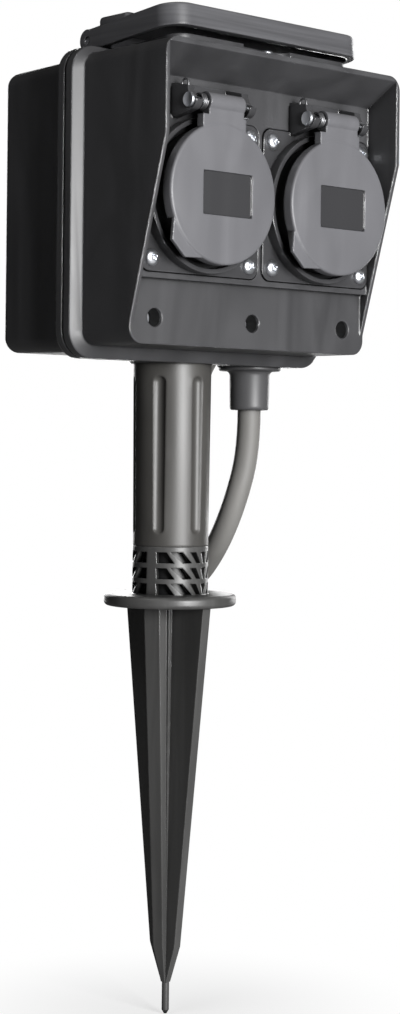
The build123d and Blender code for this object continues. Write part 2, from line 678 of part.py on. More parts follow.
def plate_screws(cx):
    """Four pan-head screws at the plate's corners."""
    with BuildPart() as screws:
        with BuildSketch(facing(PLATE_FRONT_Y - FLAT_GAP)):
            with at(cx, SOCKET_Z):
                with GridLocations(2 * SCREW_PITCH, 2 * SCREW_PITCH, 2, 2):
                    Circle(PLATE_HEAD_R)
        extrude(amount=PLATE_HEAD_T)
        fillet(screws.faces().group_by(Axis.Y)[0].edges(), 0.6)
        with BuildSketch(facing(PLATE_FRONT_Y - FLAT_GAP)):
            with at(cx, SOCKET_Z):
                with GridLocations(2 * SCREW_PITCH, 2 * SCREW_PITCH, 2, 2):
                    Circle(PLATE_SCREW_R - 0.05)
        extrude(amount=-PLATE_SCREW_LEN)
    return screws.part


LID_FRONT_Y = PANEL_Y - LID_FRONT
LID_BACK_Y = PANEL_Y - LID_BACK
LID_INNER_Y = LID_FRONT_Y + LID_TOP_T
TAB_POINTS = ((-20.5, -9.0), (-21.1, -15.8), (-15.8, -20.8), (-8.7, -20.6))


def lid(cx):
    """Round cap with a skirt, finger tab, strap and hinge barrel."""
    with BuildPart() as cap:
        with BuildSketch(facing(LID_BACK_Y)):
            with at(cx, SOCKET_Z):
                Circle(LID_R)
        extrude(amount=LID_BACK_Y - LID_FRONT_Y)
        fillet(cap.faces().sort_by(Axis.Y)[0].edges(), LID_EDGE)
        # finger tab at the lower left
        with BuildSketch(facing(LID_BACK_Y)):
            with BuildLine():
                outline = [(cx + x, SOCKET_Z + z) for x, z in TAB_POINTS]
                Polyline(*outline, (cx, SOCKET_Z), close=True)
            make_face()
        extrude(amount=LID_BACK_Y - LID_FRONT_Y - LID_EDGE / 2)
        # strap up to the barrel, with shoulders where it leaves the disc
        with BuildSketch(facing(LID_INNER_Y + STRAP_LOWER)):
            with at(cx + (HINGE_X0 + HINGE_X1) / 2, (SOCKET_Z + HINGE_Z) / 2):
                Rectangle(HINGE_X1 - HINGE_X0, HINGE_Z - SOCKET_Z)
            with at(cx, SOCKET_Z + LID_R - 1.4):
                Rectangle(LID_STRAP_W, SHOULDER_H)
        extrude(amount=LID_INNER_Y + STRAP_LOWER - LID_FRONT_Y - LID_EDGE / 4)
        with BuildSketch(side(cx + HINGE_X0)):
            with Locations((HINGE_Y, HINGE_Z)):
                Circle(HINGE_BARREL_R)
        extrude(amount=HINGE_X1 - HINGE_X0)
        # hollow of the cap
        with BuildSketch(facing(LID_BACK_Y + 1.0)):
            with at(cx, SOCKET_Z):
                Circle(LID_R - LID_SKIRT)
        extrude(amount=LID_BACK_Y + 1.0 - LID_INNER_Y, mode=Mode.SUBTRACT)
        with BuildSketch(side(cx + HINGE_X0 - 1.0)):
            with Locations((HINGE_Y, HINGE_Z)):
                Circle(HINGE_PIN_R + RUN_GAP)
        extrude(amount=HINGE_X1 - HINGE_X0 + 2.0, mode=Mode.SUBTRACT)
        # bare recessed field
        with BuildSketch(facing(LID_FRONT_Y - 1.0)):
            with at(cx + 1.5, SOCKET_Z):
                RectangleRounded(LID_FIELD_W, LID_FIELD_H, 1.5)
        extrude(amount=-1.0 - LID_FIELD_DEPTH, mode=Mode.SUBTRACT)
    return cap.part


def lid_seal(cx):
    """Flat rubber ring inside the cap; it lies just clear of the barrel's rim."""
    with BuildPart() as ring:
        with BuildSketch(facing(LID_INNER_Y + 0.9)):
            with at(cx, SOCKET_Z):
                Circle(LID_R - LID_SKIRT - SEAT_GAP)
                Circle(LID_R - LID_SKIRT - 3.2, mode=Mode.SUBTRACT)
        extrude(amount=0.9 - FLAT_GAP)
    return ring.part


def hinge_pin(cx):
    """Steel pin through both ears, with a round head on the left."""
    with BuildPart() as pin:
        with BuildSketch(side(cx - EAR_X1 - FLAT_GAP)):
            with Locations((HINGE_Y, HINGE_Z)):
                Circle(HINGE_PIN_R)
        extrude(amount=2 * EAR_X1 + 0.6)
        with BuildSketch(side(cx - EAR_X1 - FLAT_GAP)):
            with Locations((HINGE_Y, HINGE_Z)):
                Circle(PIN_HEAD_R)
        extrude(amount=-PIN_HEAD_T)
    return pin.part


def lid_spring(cx):
    """Torsion spring between the left ear and the barrel: curls round the pin."""
    start_x = cx - EAR_X0 + FREE_GAP + SPRING_WIRE_R
    pitch = (EAR_X0 + HINGE_X0 - 2 * FREE_GAP - 2 * SPRING_WIRE_R) / SPRING_CURLS
    with BuildPart() as spring:
        with BuildLine() as curls:
            Helix(pitch=pitch, height=pitch * SPRING_CURLS, radius=SPRING_R,
                  center=(start_x, HINGE_Y, HINGE_Z), direction=(1, 0, 0))
        path = curls.edges()[0]
        with BuildSketch(Plane(origin=path @ 0, z_dir=path % 0)):
            Circle(SPRING_WIRE_R)
        sweep(path=path, is_frenet=True)
    return spring.part


for hand, cx in (("left", -SOCKET_X), ("right", SOCKET_X)):
    save(socket_front(cx), f"{hand}_socket_front")
    save(contact_carrier(cx), f"{hand}_contact_carrier")
    save(line_contacts(cx), f"{hand}_line_contacts")
    save(earth_clip(cx), f"{hand}_earth_clip")
    save(plate_gasket(cx), f"{hand}_plate_gasket")
    save(plate_screws(cx), f"{hand}_plate_screws")
    save(lid(cx), f"{hand}_lid")
    save(lid_seal(cx), f"{hand}_lid_seal")
    save(hinge_pin(cx), f"{hand}_hinge_pin")
    save(lid_spring(cx), f"{hand}_lid_spring")

# Top collar: a wedge-shaped frame screwed on the housing, with the terminal tray hanging from it.
TILT = tan(radians(COVER_TILT))


def cover_low(y):
    """Height of the cover's underside at depth y."""
    return COVER_LOW_Z - (y - COVER_FRONT_Y) * TILT


COLLAR_GAP = 2.0
COLLAR_BACK_Y = SEAM_Y - FLANGE_T - FLANGE_SLOPE - 0.3
COLLAR_BASE_Z = TOP_Z + 0.3
with BuildPart() as top_collar:
    with BuildSketch(side(-TOP_COLLAR_HALF_W)):
        Polygon(
            (TOP_COLLAR_FRONT_Y, COLLAR_BASE_Z),
            (COLLAR_BACK_Y, COLLAR_BASE_Z),
            (COLLAR_BACK_Y, cover_low(COLLAR_BACK_Y) - COLLAR_GAP + 0.8),
            (TOP_COLLAR_FRONT_Y, cover_low(TOP_COLLAR_FRONT_Y) - COLLAR_GAP),
            align=None,
        )
    extrude(amount=2 * TOP_COLLAR_HALF_W)
    fillet(top_collar.edges().filter_by(Axis.Z).sort_by(Axis.Y)[:2], 6.0)
    with BuildSketch(Plane.XY.offset(TRAY_FLOOR_Z - 1.6)):
        with Locations((0, (TRAY_FRONT_Y + TRAY_BACK_Y) / 2)):
            RectangleRounded(2 * TRAY_HALF_W, TRAY_BACK_Y - TRAY_FRONT_Y, 2.0)
    extrude(amount=COLLAR_BASE_Z + 1.0 - TRAY_FLOOR_Z + 1.6)
    with BuildSketch(Plane.XY.offset(TRAY_FLOOR_Z)):
        with Locations((0, (TRAY_FRONT_Y + TRAY_BACK_Y) / 2)):
            RectangleRounded(2 * TRAY_HALF_W - 3.2, TRAY_BACK_Y - TRAY_FRONT_Y - 3.2, 1.0)
    extrude(amount=30.0, mode=Mode.SUBTRACT)
    # holes in the tray's floor for the three cores
    with BuildSketch(Plane.XY.offset(TRAY_FLOOR_Z - 2.0)):
        with Locations((0, TRAY_MID_Y)):
            with GridLocations(POLE_PITCH, 1, 3, 1):
                Circle(CORE_R + FREE_GAP)
    extrude(amount=4.0, mode=Mode.SUBTRACT)
    # scooped pocket with the fixing screw, in the middle of the front edge
    with BuildSketch(Plane.XY.offset(COLLAR_BASE_Z + 1.2)):
        with Locations((0, TOP_COLLAR_FRONT_Y - 2.0)):
            SlotOverall(22.0, 10.0)
    extrude(amount=20.0, mode=Mode.SUBTRACT)
save(top_collar.part, "top_collar")

with BuildPart() as collar_screw:
    with BuildSketch(Plane.XY.offset(COLLAR_BASE_Z + 1.2 + FLAT_GAP)):
        with Locations((0, TOP_COLLAR_FRONT_Y + 0.6)):
            Circle(2.4)
    extrude(amount=1.6)
    fillet(collar_screw.faces().sort_by(Axis.Z)[-1].edges(), 0.7)
save(collar_screw.part, "collar_screw")

# Weather cover: rounded tray upside down, tilted, with a hinge barrel along its back edge.
COVER_PLANE = Plane(origin=(0, COVER_FRONT_Y, COVER_LOW_Z), x_dir=(1, 0, 0),
                    z_dir=(0, sin(radians(COVER_TILT)), cos(radians(COVER_TILT))))
COVER_HINGE_Y = COVER_FRONT_Y + (COVER_DEPTH - COVER_HINGE_R - 2.0) * cos(radians(COVER_TILT))
COVER_HINGE_Z = cover_low(COVER_HINGE_Y) + 3.6
KNUCKLE_X = 30.0
KNUCKLE_W = 10.0
with BuildPart() as top_cover:
    with BuildSketch(COVER_PLANE):
        with Locations((0, (COVER_DEPTH - COVER_HINGE_R - 2.0) / 2)):
            RectangleRounded(2 * COVER_HALF_W, COVER_DEPTH - COVER_HINGE_R - 2.0, COVER_R)
        with Locations((0, COVER_DEPTH - COVER_HINGE_R - 2.0 - COVER_R)):
            Rectangle(2 * COVER_HALF_W, 2 * COVER_R)
    extrude(amount=COVER_T)
    fillet(top_cover.faces().sort_by(Axis.Z)[-1].edges().sort_by(Axis.Y)[:-1], 0.8)
    with BuildSketch(side(-COVER_HALF_W)):
        with Locations((COVER_HINGE_Y, COVER_HINGE_Z)):
            Circle(COVER_HINGE_R + 0.6)
    extrude(amount=2 * COVER_HALF_W)
    with BuildSketch(COVER_PLANE):
        with Locations((0, (COVER_DEPTH - COVER_HINGE_R - 2.0) / 2 - 1.5)):
            RectangleRounded(2 * COVER_HALF_W - 2 * COVER_WALL, COVER_DEPTH - 14.0, COVER_R - COVER_WALL)
    extrude(amount=COVER_T - COVER_WALL, mode=Mode.SUBTRACT)
    # gaps for the two hinge lugs and the bore of the pin
    for lug_x in (-KNUCKLE_X, KNUCKLE_X):
        with BuildSketch(side(lug_x - KNUCKLE_W / 2 - FREE_GAP)):
            with Locations((COVER_HINGE_Y, COVER_HINGE_Z)):
                Rectangle(2 * COVER_HINGE_R + 2.2, 2 * COVER_HINGE_R + 6.0)
        extrude(amount=KNUCKLE_W + 2 * FREE_GAP, mode=Mode.SUBTRACT)
    with BuildSketch(side(-COVER_HALF_W - 1.0)):
        with Locations((COVER_HINGE_Y, COVER_HINGE_Z)):
            Circle(COVER_PIN_R + RUN_GAP)
    extrude(amount=2 * COVER_HALF_W + 2.0, mode=Mode.SUBTRACT)
save(top_cover.part, "top_cover")

# Hinge lugs: a strip on the flange's top that carries the cover's pin.
with BuildPart() as hinge_lugs:
    for lug_x in (-KNUCKLE_X, KNUCKLE_X):
        with BuildSketch(side(lug_x - KNUCKLE_W / 2)):
            with Locations((COVER_HINGE_Y, COVER_HINGE_Z)):
                Circle(COVER_HINGE_R)
            with Locations((COVER_HINGE_Y, (COVER_HINGE_Z + BACK_TOP + FLAT_GAP) / 2)):
                Rectangle(4.4, COVER_HINGE_Z - BACK_TOP - FLAT_GAP)
        extrude(amount=KNUCKLE_W)
    with BuildSketch(side(-KNUCKLE_X - KNUCKLE_W / 2 - 1.0)):
        with Locations((COVER_HINGE_Y, COVER_HINGE_Z)):
            Circle(COVER_PIN_R + 0.03)
    extrude(amount=2 * KNUCKLE_X + KNUCKLE_W + 2.0, mode=Mode.SUBTRACT)
save(hinge_lugs.part, "hinge_lugs")

with BuildPart() as cover_pin:
    with BuildSketch(side(-COVER_HALF_W + 0.5)):
        with Locations((COVER_HINGE_Y, COVER_HINGE_Z)):
            Circle(COVER_PIN_R)
    extrude(amount=2 * COVER_HALF_W - 1.0)
save(cover_pin.part, "cover_hinge_pin")

# Terminal block in the tray: three poles with a screw each.
with BuildPart() as terminal_block:
    with BuildSketch(Plane.XY.offset(TRAY_FLOOR_Z + FLAT_GAP)):
        with Locations((0, TRAY_MID_Y)):
            Rectangle(BLOCK_W, BLOCK_D)
    extrude(amount=BLOCK_H)
    chamfer(terminal_block.faces().sort_by(Axis.Z)[-1].edges().filter_by(Axis.X), 1.5)
    with BuildSketch(Plane.XY.offset(TRAY_FLOOR_Z + 3.0)):
        with Locations((0, TRAY_MID_Y)):
            with GridLocations(POLE_PITCH, 1, 3, 1):
                Circle(2.1)
    extrude(amount=BLOCK_H, mode=Mode.SUBTRACT)
save(terminal_block.part, "terminal_block")

with BuildPart() as terminal_screws:
    with BuildSketch(Plane.XY.offset(TRAY_FLOOR_Z + 3.0 + FLAT_GAP)):
        with Locations((0, TRAY_MID_Y)):
            with GridLocations(POLE_PITCH, 1, 3, 1):
                Circle(2.0)
    extrude(amount=3.6)
save(terminal_screws.part, "terminal_screws")

# Gland: screwed boss under the housing with a bend sleeve for the cord.
with BuildPart() as gland:
    with BuildSketch(Plane(origin=(GLAND_X, 0, 0), x_dir=(1, 0, 0), z_dir=(0, -1, 0))):
        Polygon(
            (0, GLAND_LOW_Z),
            (GLAND_R - 0.3, GLAND_LOW_Z),
            (GLAND_R, GLAND_BOSS_Z - 0.8),
            (GLAND_BOSS_R, GLAND_BOSS_Z),
            (GLAND_BOSS_R, FLANGE_LOW - FLAT_GAP),
            (0, FLANGE_LOW - FLAT_GAP),
            align=None,
        )
    revolve(axis=Axis((GLAND_X, 0, 0), (0, 0, 1)))
save(gland.part, "gland")

# Cord: lead from the gland, a loop that hangs behind the post, and the coil behind the housing.
LEAD_END_RUN = 13.0
LEAD = (
    (GLAND_X, 0.0, 67.1),
    (GLAND_X, 0.0, 53.1),
    (32.1, 1.9, 35.5),
    (31.8, 10.2, 20.0),
    (35.4, 23.7, 8.8),
    (43.3, 39.5, 4.4),
    (53.5, 53.9, 8.0),
    (62.6, 65.0, 19.1),
    (69.4, 70.7, 36.1),
    (72.2, 68.7, 56.5),
    (68.5, 62.2, 73.4),
    (67.3, 50.9, 86.3),
    (68.6, 39.8, 100.3),
    (COIL_X + COIL_R, COIL_Y, COIL_Z - 2 * CORD_R - LEAD_END_RUN),
    (COIL_X + COIL_R, COIL_Y, COIL_Z - 2 * CORD_R),
)


def corner_radii(points):
    """Largest tangent arc at each corner that its two runs allow."""
    radii = []
    for before, corner, after in zip(points, points[1:], points[2:]):
        run_in = Vector(*corner) - Vector(*before)
        run_out = Vector(*after) - Vector(*corner)
        turn = radians(run_in.get_angle(run_out))
        radii.append(0.45 * min(run_in.length, run_out.length) / tan(turn / 2))
    return radii


def cord_tube(points, label):
    """Round tube along straight runs joined by tangent arcs; prints the radii and the volume check."""
    radii = corner_radii(points)
    print(label, "radii", [round(r, 1) for r in radii])
    with BuildPart() as tube:
        with BuildLine():
            path = FilletPolyline(*points, radius=radii)
        length = path.length
        with BuildSketch(Plane(origin=path @ 0, z_dir=path % 0)):
            Circle(CORD_R)
        sweep(path=path)
    print(label, "length", round(length, 1), "volume ratio",
          round(tube.part.volume / (pi * CORD_R ** 2 * length), 4))
    return tube.part


save(cord_tube(LEAD, "lead"), "cord_lead")


def coil_point(u, v, y):
    """Place on the coil from its centre: u to the right, v up, y deep."""
    return Vector(COIL_X + u, y, COIL_Z + v)


# Half turns of the coil: where the centre stands, the radius, +1 for an upper and -1 for a lower one.
# Two layers: the first spirals in, a lower half turn climbs, the second spirals out again.
LAYER_TWO_Y = COIL_Y + LAYER_PITCH
FIRST_LAYER = [(-TURN_PITCH / 2 * (k % 2), COIL_R - k * TURN_PITCH / 2, 1 - 2 * (k % 2)) for k in range(3)]
CLIMB_U = -TURN_PITCH / 2
CLIMB_R = COIL_R - 1.5 * TURN_PITCH
SECOND_U = -TURN_PITCH
SECOND_R = COIL_R - TURN_PITCH

# Plug: it lies on the back of the coil, its axis rising to the right and leaning out with its taper.
TAIL_RISE = 7.1
TAIL_LOW = coil_point(-8.0, -42.0, LAYER_TWO_Y + TAIL_RISE)
TAIL_BEND = TAIL_LOW + Vector(14.3, 2.9, 2.3)

with BuildPart() as cord_coil:
    with BuildLine() as turns:
        here = coil_point(COIL_R, -2 * CORD_R, COIL_Y)
        there = coil_point(COIL_R, 0, COIL_Y)
        Line(here, there)
        for centre, radius, hand in FIRST_LAYER:
            ThreePointArc(
                coil_point(centre + hand * radius, 0, COIL_Y),
                coil_point(centre, hand * radius, COIL_Y),
                coil_point(centre - hand * radius, 0, COIL_Y),
            )
        climb_top = sqrt(CLIMB_R ** 2 + (LAYER_PITCH / 2) ** 2)
        mid = coil_point(CLIMB_U, -climb_top, COIL_Y + LAYER_PITCH / 2)
        rising = TangentArc(coil_point(CLIMB_U - CLIMB_R, 0, COIL_Y), mid, tangent=(0, 0, -1))
        TangentArc(mid, coil_point(CLIMB_U + CLIMB_R, 0, LAYER_TWO_Y), tangent=rising % 1)
        ThreePointArc(
            coil_point(SECOND_U + SECOND_R, 0, LAYER_TWO_Y),
            coil_point(SECOND_U, SECOND_R, LAYER_TWO_Y),
            coil_point(SECOND_U - SECOND_R, 0, LAYER_TWO_Y),
        )
        down = TangentArc(coil_point(SECOND_U - SECOND_R, 0, LAYER_TWO_Y), TAIL_LOW, tangent=(0, 0, -1))
        up = TangentArc(TAIL_LOW, TAIL_BEND, tangent=down % 1)
        last = Line(TAIL_BEND, TAIL_BEND + (up % 1) * 2 * CORD_R)
    coil_path = turns.wires()[0]
    with BuildSketch(Plane(origin=here, z_dir=(0, 0, 1))):
        Circle(CORD_R)
    sweep(path=coil_path)
print("tail bends", round(down.radius, 1), round(up.radius, 1), "climb", round(rising.radius, 1))
print("coil length", round(coil_path.length, 1), "volume ratio",
      round(cord_coil.part.volume / (pi * CORD_R ** 2 * coil_path.length), 4))


def least_self_gap(path, apart):
    """Least gap between stretches of a tube that lie more than `apart` along it from each other."""
    count = int(path.length / 2.0)
    points = [path @ (n / count) for n in range(count + 1)]
    skip = int(apart / 2.0)
    return min((points[i] - points[j]).length for i in range(count + 1) for j in range(i + skip, count + 1))


print("coil least gap to itself", round(least_self_gap(coil_path, 60.0) - 2 * CORD_R, 2))
save(cord_coil.part, "cord_coil")

# Ties: flat bands round the coil's section.
def turn_reach(centre, radius, angle):
    """Distance from the coil's centre to a turn, in a direction."""
    along = centre * cos(angle)
    across = centre * sin(angle)
    return along + sqrt(radius ** 2 - across ** 2)


UPPER_TURNS = (FIRST_LAYER[0][:2], FIRST_LAYER[2][:2], (SECOND_U, SECOND_R))
LOWER_TURNS = (FIRST_LAYER[1][:2], (CLIMB_U, CLIMB_R))
TIES = (
    (150.0, UPPER_TURNS, LAYER_TWO_Y),
    (40.0, UPPER_TURNS, LAYER_TWO_Y),
    (250.0, LOWER_TURNS, LAYER_TWO_Y + TAIL_RISE),
)
with BuildPart() as cord_ties:
    for turned, held, deepest in TIES:
        angle = radians(turned)
        reaches = [turn_reach(centre, radius, angle) for centre, radius in held]
        inner = min(reaches) - CORD_R - TIE_GAP - TIE_SKEW
        outer = max(reaches) + CORD_R + TIE_GAP + TIE_SKEW
        near = COIL_Y - CORD_R - TIE_GAP
        far = deepest + CORD_R + TIE_GAP
        across = Plane(
            origin=(COIL_X, 0, COIL_Z),
            x_dir=(cos(angle), 0, sin(angle)),
            z_dir=(-sin(angle), 0, cos(angle)),
        )
        deep = across.y_dir.Y
        with BuildSketch(across):
            with Locations(((inner + outer) / 2, deep * (near + far) / 2)):
                RectangleRounded(outer - inner + 2 * TIE_T, far - near + 2 * TIE_T, 2.0)
                RectangleRounded(outer - inner, far - near, 1.0, mode=Mode.SUBTRACT)
        extrude(amount=TIE_W / 2, both=True)
save(cord_ties.part, "cord_ties")

# Plug: rubber body turned to a bell, two round pins, and the earth strips in its sides.
PLUG_END = TAIL_BEND + (up % 1) * (2 * CORD_R + FLAT_GAP)
PLUG_DIR = up % 1
PLUG_UP = Vector(-PLUG_DIR.Z, 0, PLUG_DIR.X).normalized()
plug_plane = Plane(origin=PLUG_END, x_dir=PLUG_UP, z_dir=PLUG_DIR)
PIN_ROOT = 11.9
PLUG_PROFILE = (
    (6.4, 0),
    (7.4, 18),
    (11.5, 22),
    (14.0, 30),
    (15.0, 40),
    (17.6, 46),
    (PLUG_FACE_R, 50),
    (PLUG_FACE_R, PLUG_LEN),
)
with BuildPart() as plug_body:
    with BuildSketch(Plane(origin=PLUG_END, x_dir=PLUG_UP, z_dir=-plug_plane.y_dir)):
        with BuildLine():
            Polyline((0, 0), *PLUG_PROFILE, (0, PLUG_LEN), close=True)
        make_face()
    revolve(axis=Axis(PLUG_END, PLUG_DIR))
    with BuildSketch(plug_plane.offset(PLUG_LEN + 1.0)):
        with GridLocations(PIN_PITCH, 1, 2, 1):
            Circle(PLUG_PIN_R)
    extrude(amount=-1.0 - PIN_ROOT - FREE_GAP / 3, mode=Mode.SUBTRACT)
    with BuildSketch(plug_plane.offset(PLUG_LEN + 1.0)):
        with GridLocations(1, 2 * PLUG_FACE_R, 1, 2):
            Rectangle(6.0, 5.0)
        with GridLocations(2 * PLUG_FACE_R, 1, 2, 1):
            Rectangle(4.4, 5.6)
    extrude(amount=-17.0, mode=Mode.SUBTRACT)
save(plug_body.part, "plug_body")

with BuildPart() as plug_pins:
    with BuildSketch(plug_plane.offset(PLUG_LEN - PIN_ROOT)):
        with GridLocations(PIN_PITCH, 1, 2, 1):
            Circle(PLUG_PIN_R - FLAT_GAP / 2)
    extrude(amount=PIN_ROOT + PLUG_PIN_LEN)
    pin_tips = plug_pins.faces().sort_by(lambda f: (f.center() - PLUG_END).dot(PLUG_DIR))[-2:]
    chamfer(pin_tips.edges(), 0.8)
save(plug_pins.part, "plug_pins")

with BuildPart() as plug_earth:
    with BuildSketch(plug_plane.offset(PLUG_LEN - 0.6)):
        with GridLocations(1, 2 * (PLUG_FACE_R - 2.5 + 0.45), 1, 2):
            Rectangle(5.0, 0.8)
    extrude(amount=-15.0)
save(plug_earth.part, "plug_earth_strips")

# Supply wires: three insulated cores from the gland to the terminal block.
CORE_PITCH = 2.9
CORE_SHIFT = -2.4
CORE_RISE_Z = 104.0
CORE_SWAY = 6.0
CORE_MID_Y = 4.0
CORE_MID_Z = 148.0
CORE_TOP_Z = 160.0
CORE_BEND = 3.0
with BuildPart() as supply_wires:
    for pole in (-1, 0, 1):
        foot_x = GLAND_X + CORE_SHIFT + pole * CORE_PITCH
        top_x = pole * POLE_PITCH
        with BuildLine() as run:
            FilletPolyline(
                (foot_x, 0, BACK_LOW + WALL + FREE_GAP),
                (foot_x, 0, CORE_RISE_Z),
                (top_x + CORE_SWAY, CORE_MID_Y + pole, CORE_MID_Z),
                (top_x, TRAY_MID_Y, CORE_TOP_Z),
                (top_x, TRAY_MID_Y, TRAY_FLOOR_Z - FLAT_GAP),
                radius=CORE_BEND,
            )
        wire = run.wires()[0]
        with BuildSketch(Plane(origin=wire @ 0, z_dir=wire % 0)):
            Circle(CORE_R)
        sweep(path=wire)
save(supply_wires.part, "supply_wires")
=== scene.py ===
import bmesh
import bpy
from math import cos, pi, radians, sin
from mathutils import Matrix, Quaternion, Vector


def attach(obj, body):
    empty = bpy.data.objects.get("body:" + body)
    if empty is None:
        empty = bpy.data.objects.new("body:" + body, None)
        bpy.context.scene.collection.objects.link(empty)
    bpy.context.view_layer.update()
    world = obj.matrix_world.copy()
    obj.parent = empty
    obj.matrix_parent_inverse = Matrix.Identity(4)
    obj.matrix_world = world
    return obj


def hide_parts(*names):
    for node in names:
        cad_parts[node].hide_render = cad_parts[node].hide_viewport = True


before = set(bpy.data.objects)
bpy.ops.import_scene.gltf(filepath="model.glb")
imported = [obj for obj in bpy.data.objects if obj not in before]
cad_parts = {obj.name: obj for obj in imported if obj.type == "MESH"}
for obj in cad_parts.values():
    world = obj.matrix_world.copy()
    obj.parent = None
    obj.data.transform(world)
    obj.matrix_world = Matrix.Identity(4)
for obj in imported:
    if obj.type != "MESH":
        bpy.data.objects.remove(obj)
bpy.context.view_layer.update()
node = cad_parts
scene = bpy.context.scene
MM = 0.001

# Camera: the photograph looks at the object's front left corner, level with the post.
# Place, turn and lens were solved from the plates, the flange and the step disc.
EYE = Vector((-0.4701, -0.5377, 0.0544))
GAZE = Vector((0.682, 0.731, -0.0023))
ROLL = radians(0.66)
SENSOR = 36
FOCAL_LENGTH = 74.31
SHIFT_X = -0.0387
SHIFT_Y = -0.0552
camera_data = bpy.data.cameras.new("camera")
camera_data.sensor_fit = "VERTICAL"
camera_data.sensor_width = SENSOR
camera_data.sensor_height = SENSOR
camera_data.lens = FOCAL_LENGTH
camera_data.shift_x = SHIFT_X
camera_data.shift_y = SHIFT_Y
camera = bpy.data.objects.new("camera", camera_data)
camera.location = EYE
camera.rotation_mode = "QUATERNION"
camera.rotation_quaternion = GAZE.to_track_quat("-Z", "Y") @ Quaternion((0, 0, 1), ROLL)
scene.collection.objects.link(camera)
scene.camera = camera

# Cord: three cores in a black rubber sheath, 8.2 mm thick. It drops from the gland, swings behind the
# post, rises behind the housing and is wound in two layers on the hook there, ending in its plug.
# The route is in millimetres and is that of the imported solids; the NURBS curve rounds its corners.
CORD_R = 4.1 * MM
LEAD = (
    (36.1, 0.0, 67.1),
    (36.1, 0.0, 53.1),
    (32.1, 1.9, 35.5),
    (31.8, 10.2, 20.0),
    (35.4, 23.7, 8.8),
    (43.3, 39.5, 4.4),
    (53.5, 53.9, 8.0),
    (62.6, 65.0, 19.1),
    (69.4, 70.7, 36.1),
    (72.2, 68.7, 56.5),
    (67.2, 63.9, 73.4),
    (64.6, 55.4, 88.0),
    (68.6, 39.8, 100.3),
    (68.0, 35.2, 117.3),
    (68.0, 35.2, 130.3),
)
COIL_CENTRE = Vector((20.0, 35.2, 138.5))
COIL_R = 48.0
TURN_PITCH = 8.7
TAIL_LOW = Vector((12.0, 51.0, 96.5))
TAIL_BEND = TAIL_LOW + Vector((14.3, 2.9, 2.3))
CORNERS_PER_ARC = 12
TAIL_CORNERS = 9
BEND_CORNERS = 2
STRAIGHT_END = 4
PLUG_REACH = 8.25


def arc_corners(start, heading, end, count):
    """Corners of the tangent polygon round the arc from start to end that leaves along heading."""
    chord = end - start
    inward = (chord - chord.dot(heading) * heading).normalized()
    half = heading.angle(chord)
    radius = chord.length / (2 * sin(half))
    centre = start + radius * inward
    step = 2 * half / count
    corners = []
    for k in range(count):
        turned = (k + 0.5) * step
        spoke = sin(turned) * heading - cos(turned) * inward
        corners.append(centre + radius / cos(step / 2) * spoke)
    leaving = sin(2 * half) * inward + cos(2 * half) * heading
    return corners, leaving


route = [Vector(p) for p in LEAD]
here = COIL_CENTRE + Vector((COIL_R, 0, 0))
heading = Vector((0, 0, 1))
for stop_u, stop_y in (
    (-COIL_R, 0.0),
    (COIL_R - TURN_PITCH, 0.0),
    (TURN_PITCH - COIL_R, 0.0),
    (COIL_R - 2 * TURN_PITCH, TURN_PITCH),
    (-COIL_R, TURN_PITCH),
):
    there = COIL_CENTRE + Vector((stop_u, here.y - COIL_CENTRE.y, 0))
    corners, heading = arc_corners(here, heading, there, CORNERS_PER_ARC)
    climb = stop_y + COIL_CENTRE.y - here.y
    for k, corner in enumerate(corners):
        share = (k + 0.5) / CORNERS_PER_ARC
        corner.y += climb * share * share * (3 - 2 * share)
    route += corners
    here = Vector((there.x, stop_y + COIL_CENTRE.y, there.z))
corners, heading = arc_corners(here, heading, TAIL_LOW, TAIL_CORNERS)
route += corners
corners, heading = arc_corners(TAIL_LOW, heading, TAIL_BEND, BEND_CORNERS)
route += corners
route.append(TAIL_BEND + STRAIGHT_END * heading)
route.append(TAIL_BEND + PLUG_REACH * heading)

cord_curve = bpy.data.curves.new("mains_cord", "CURVE")
cord_curve.dimensions = "3D"
cord_curve.resolution_u = 6
cord_curve.bevel_depth = 1
cord_curve.bevel_resolution = 7
cord_curve.use_fill_caps = True
spline = cord_curve.splines.new("NURBS")
spline.points.add(len(route) - 1)
for point, place in zip(spline.points, route):
    point.co = (*(place * MM), 1)
    point.radius = CORD_R
spline.order_u = 3
spline.use_endpoint_u = True
cord = bpy.data.objects.new("mains_cord", cord_curve)
scene.collection.objects.link(cord)
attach(cord, "housing")
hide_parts("cord_lead", "cord_coil")


def new_group(name, inputs, outputs):
    """An empty shader group with the sockets asked for; gives the group, its inlet and its outlet."""
    group = bpy.data.node_groups.new(name, "ShaderNodeTree")
    for label, kind, value in inputs:
        socket = group.interface.new_socket(label, in_out="INPUT",
                                            socket_type="NodeSocket" + kind)
        if value is not None:
            socket.default_value = value
    for label, kind in outputs:
        group.interface.new_socket(label, in_out="OUTPUT",
                                   socket_type="NodeSocket" + kind)
    return group, group.nodes.new("NodeGroupInput"), group.nodes.new("NodeGroupOutput")


def put(tree, kind, links=(), **settings):
    """Adds a node. Settings are its properties; links pair an input with a value or a socket."""
    made = tree.nodes.new("ShaderNode" + kind)
    for key, value in settings.items():
        setattr(made, key, value)
    for key, value in links:
        if isinstance(value, bpy.types.NodeSocket):
            tree.links.new(value, made.inputs[key])
        else:
            made.inputs[key].default_value = value
    return made


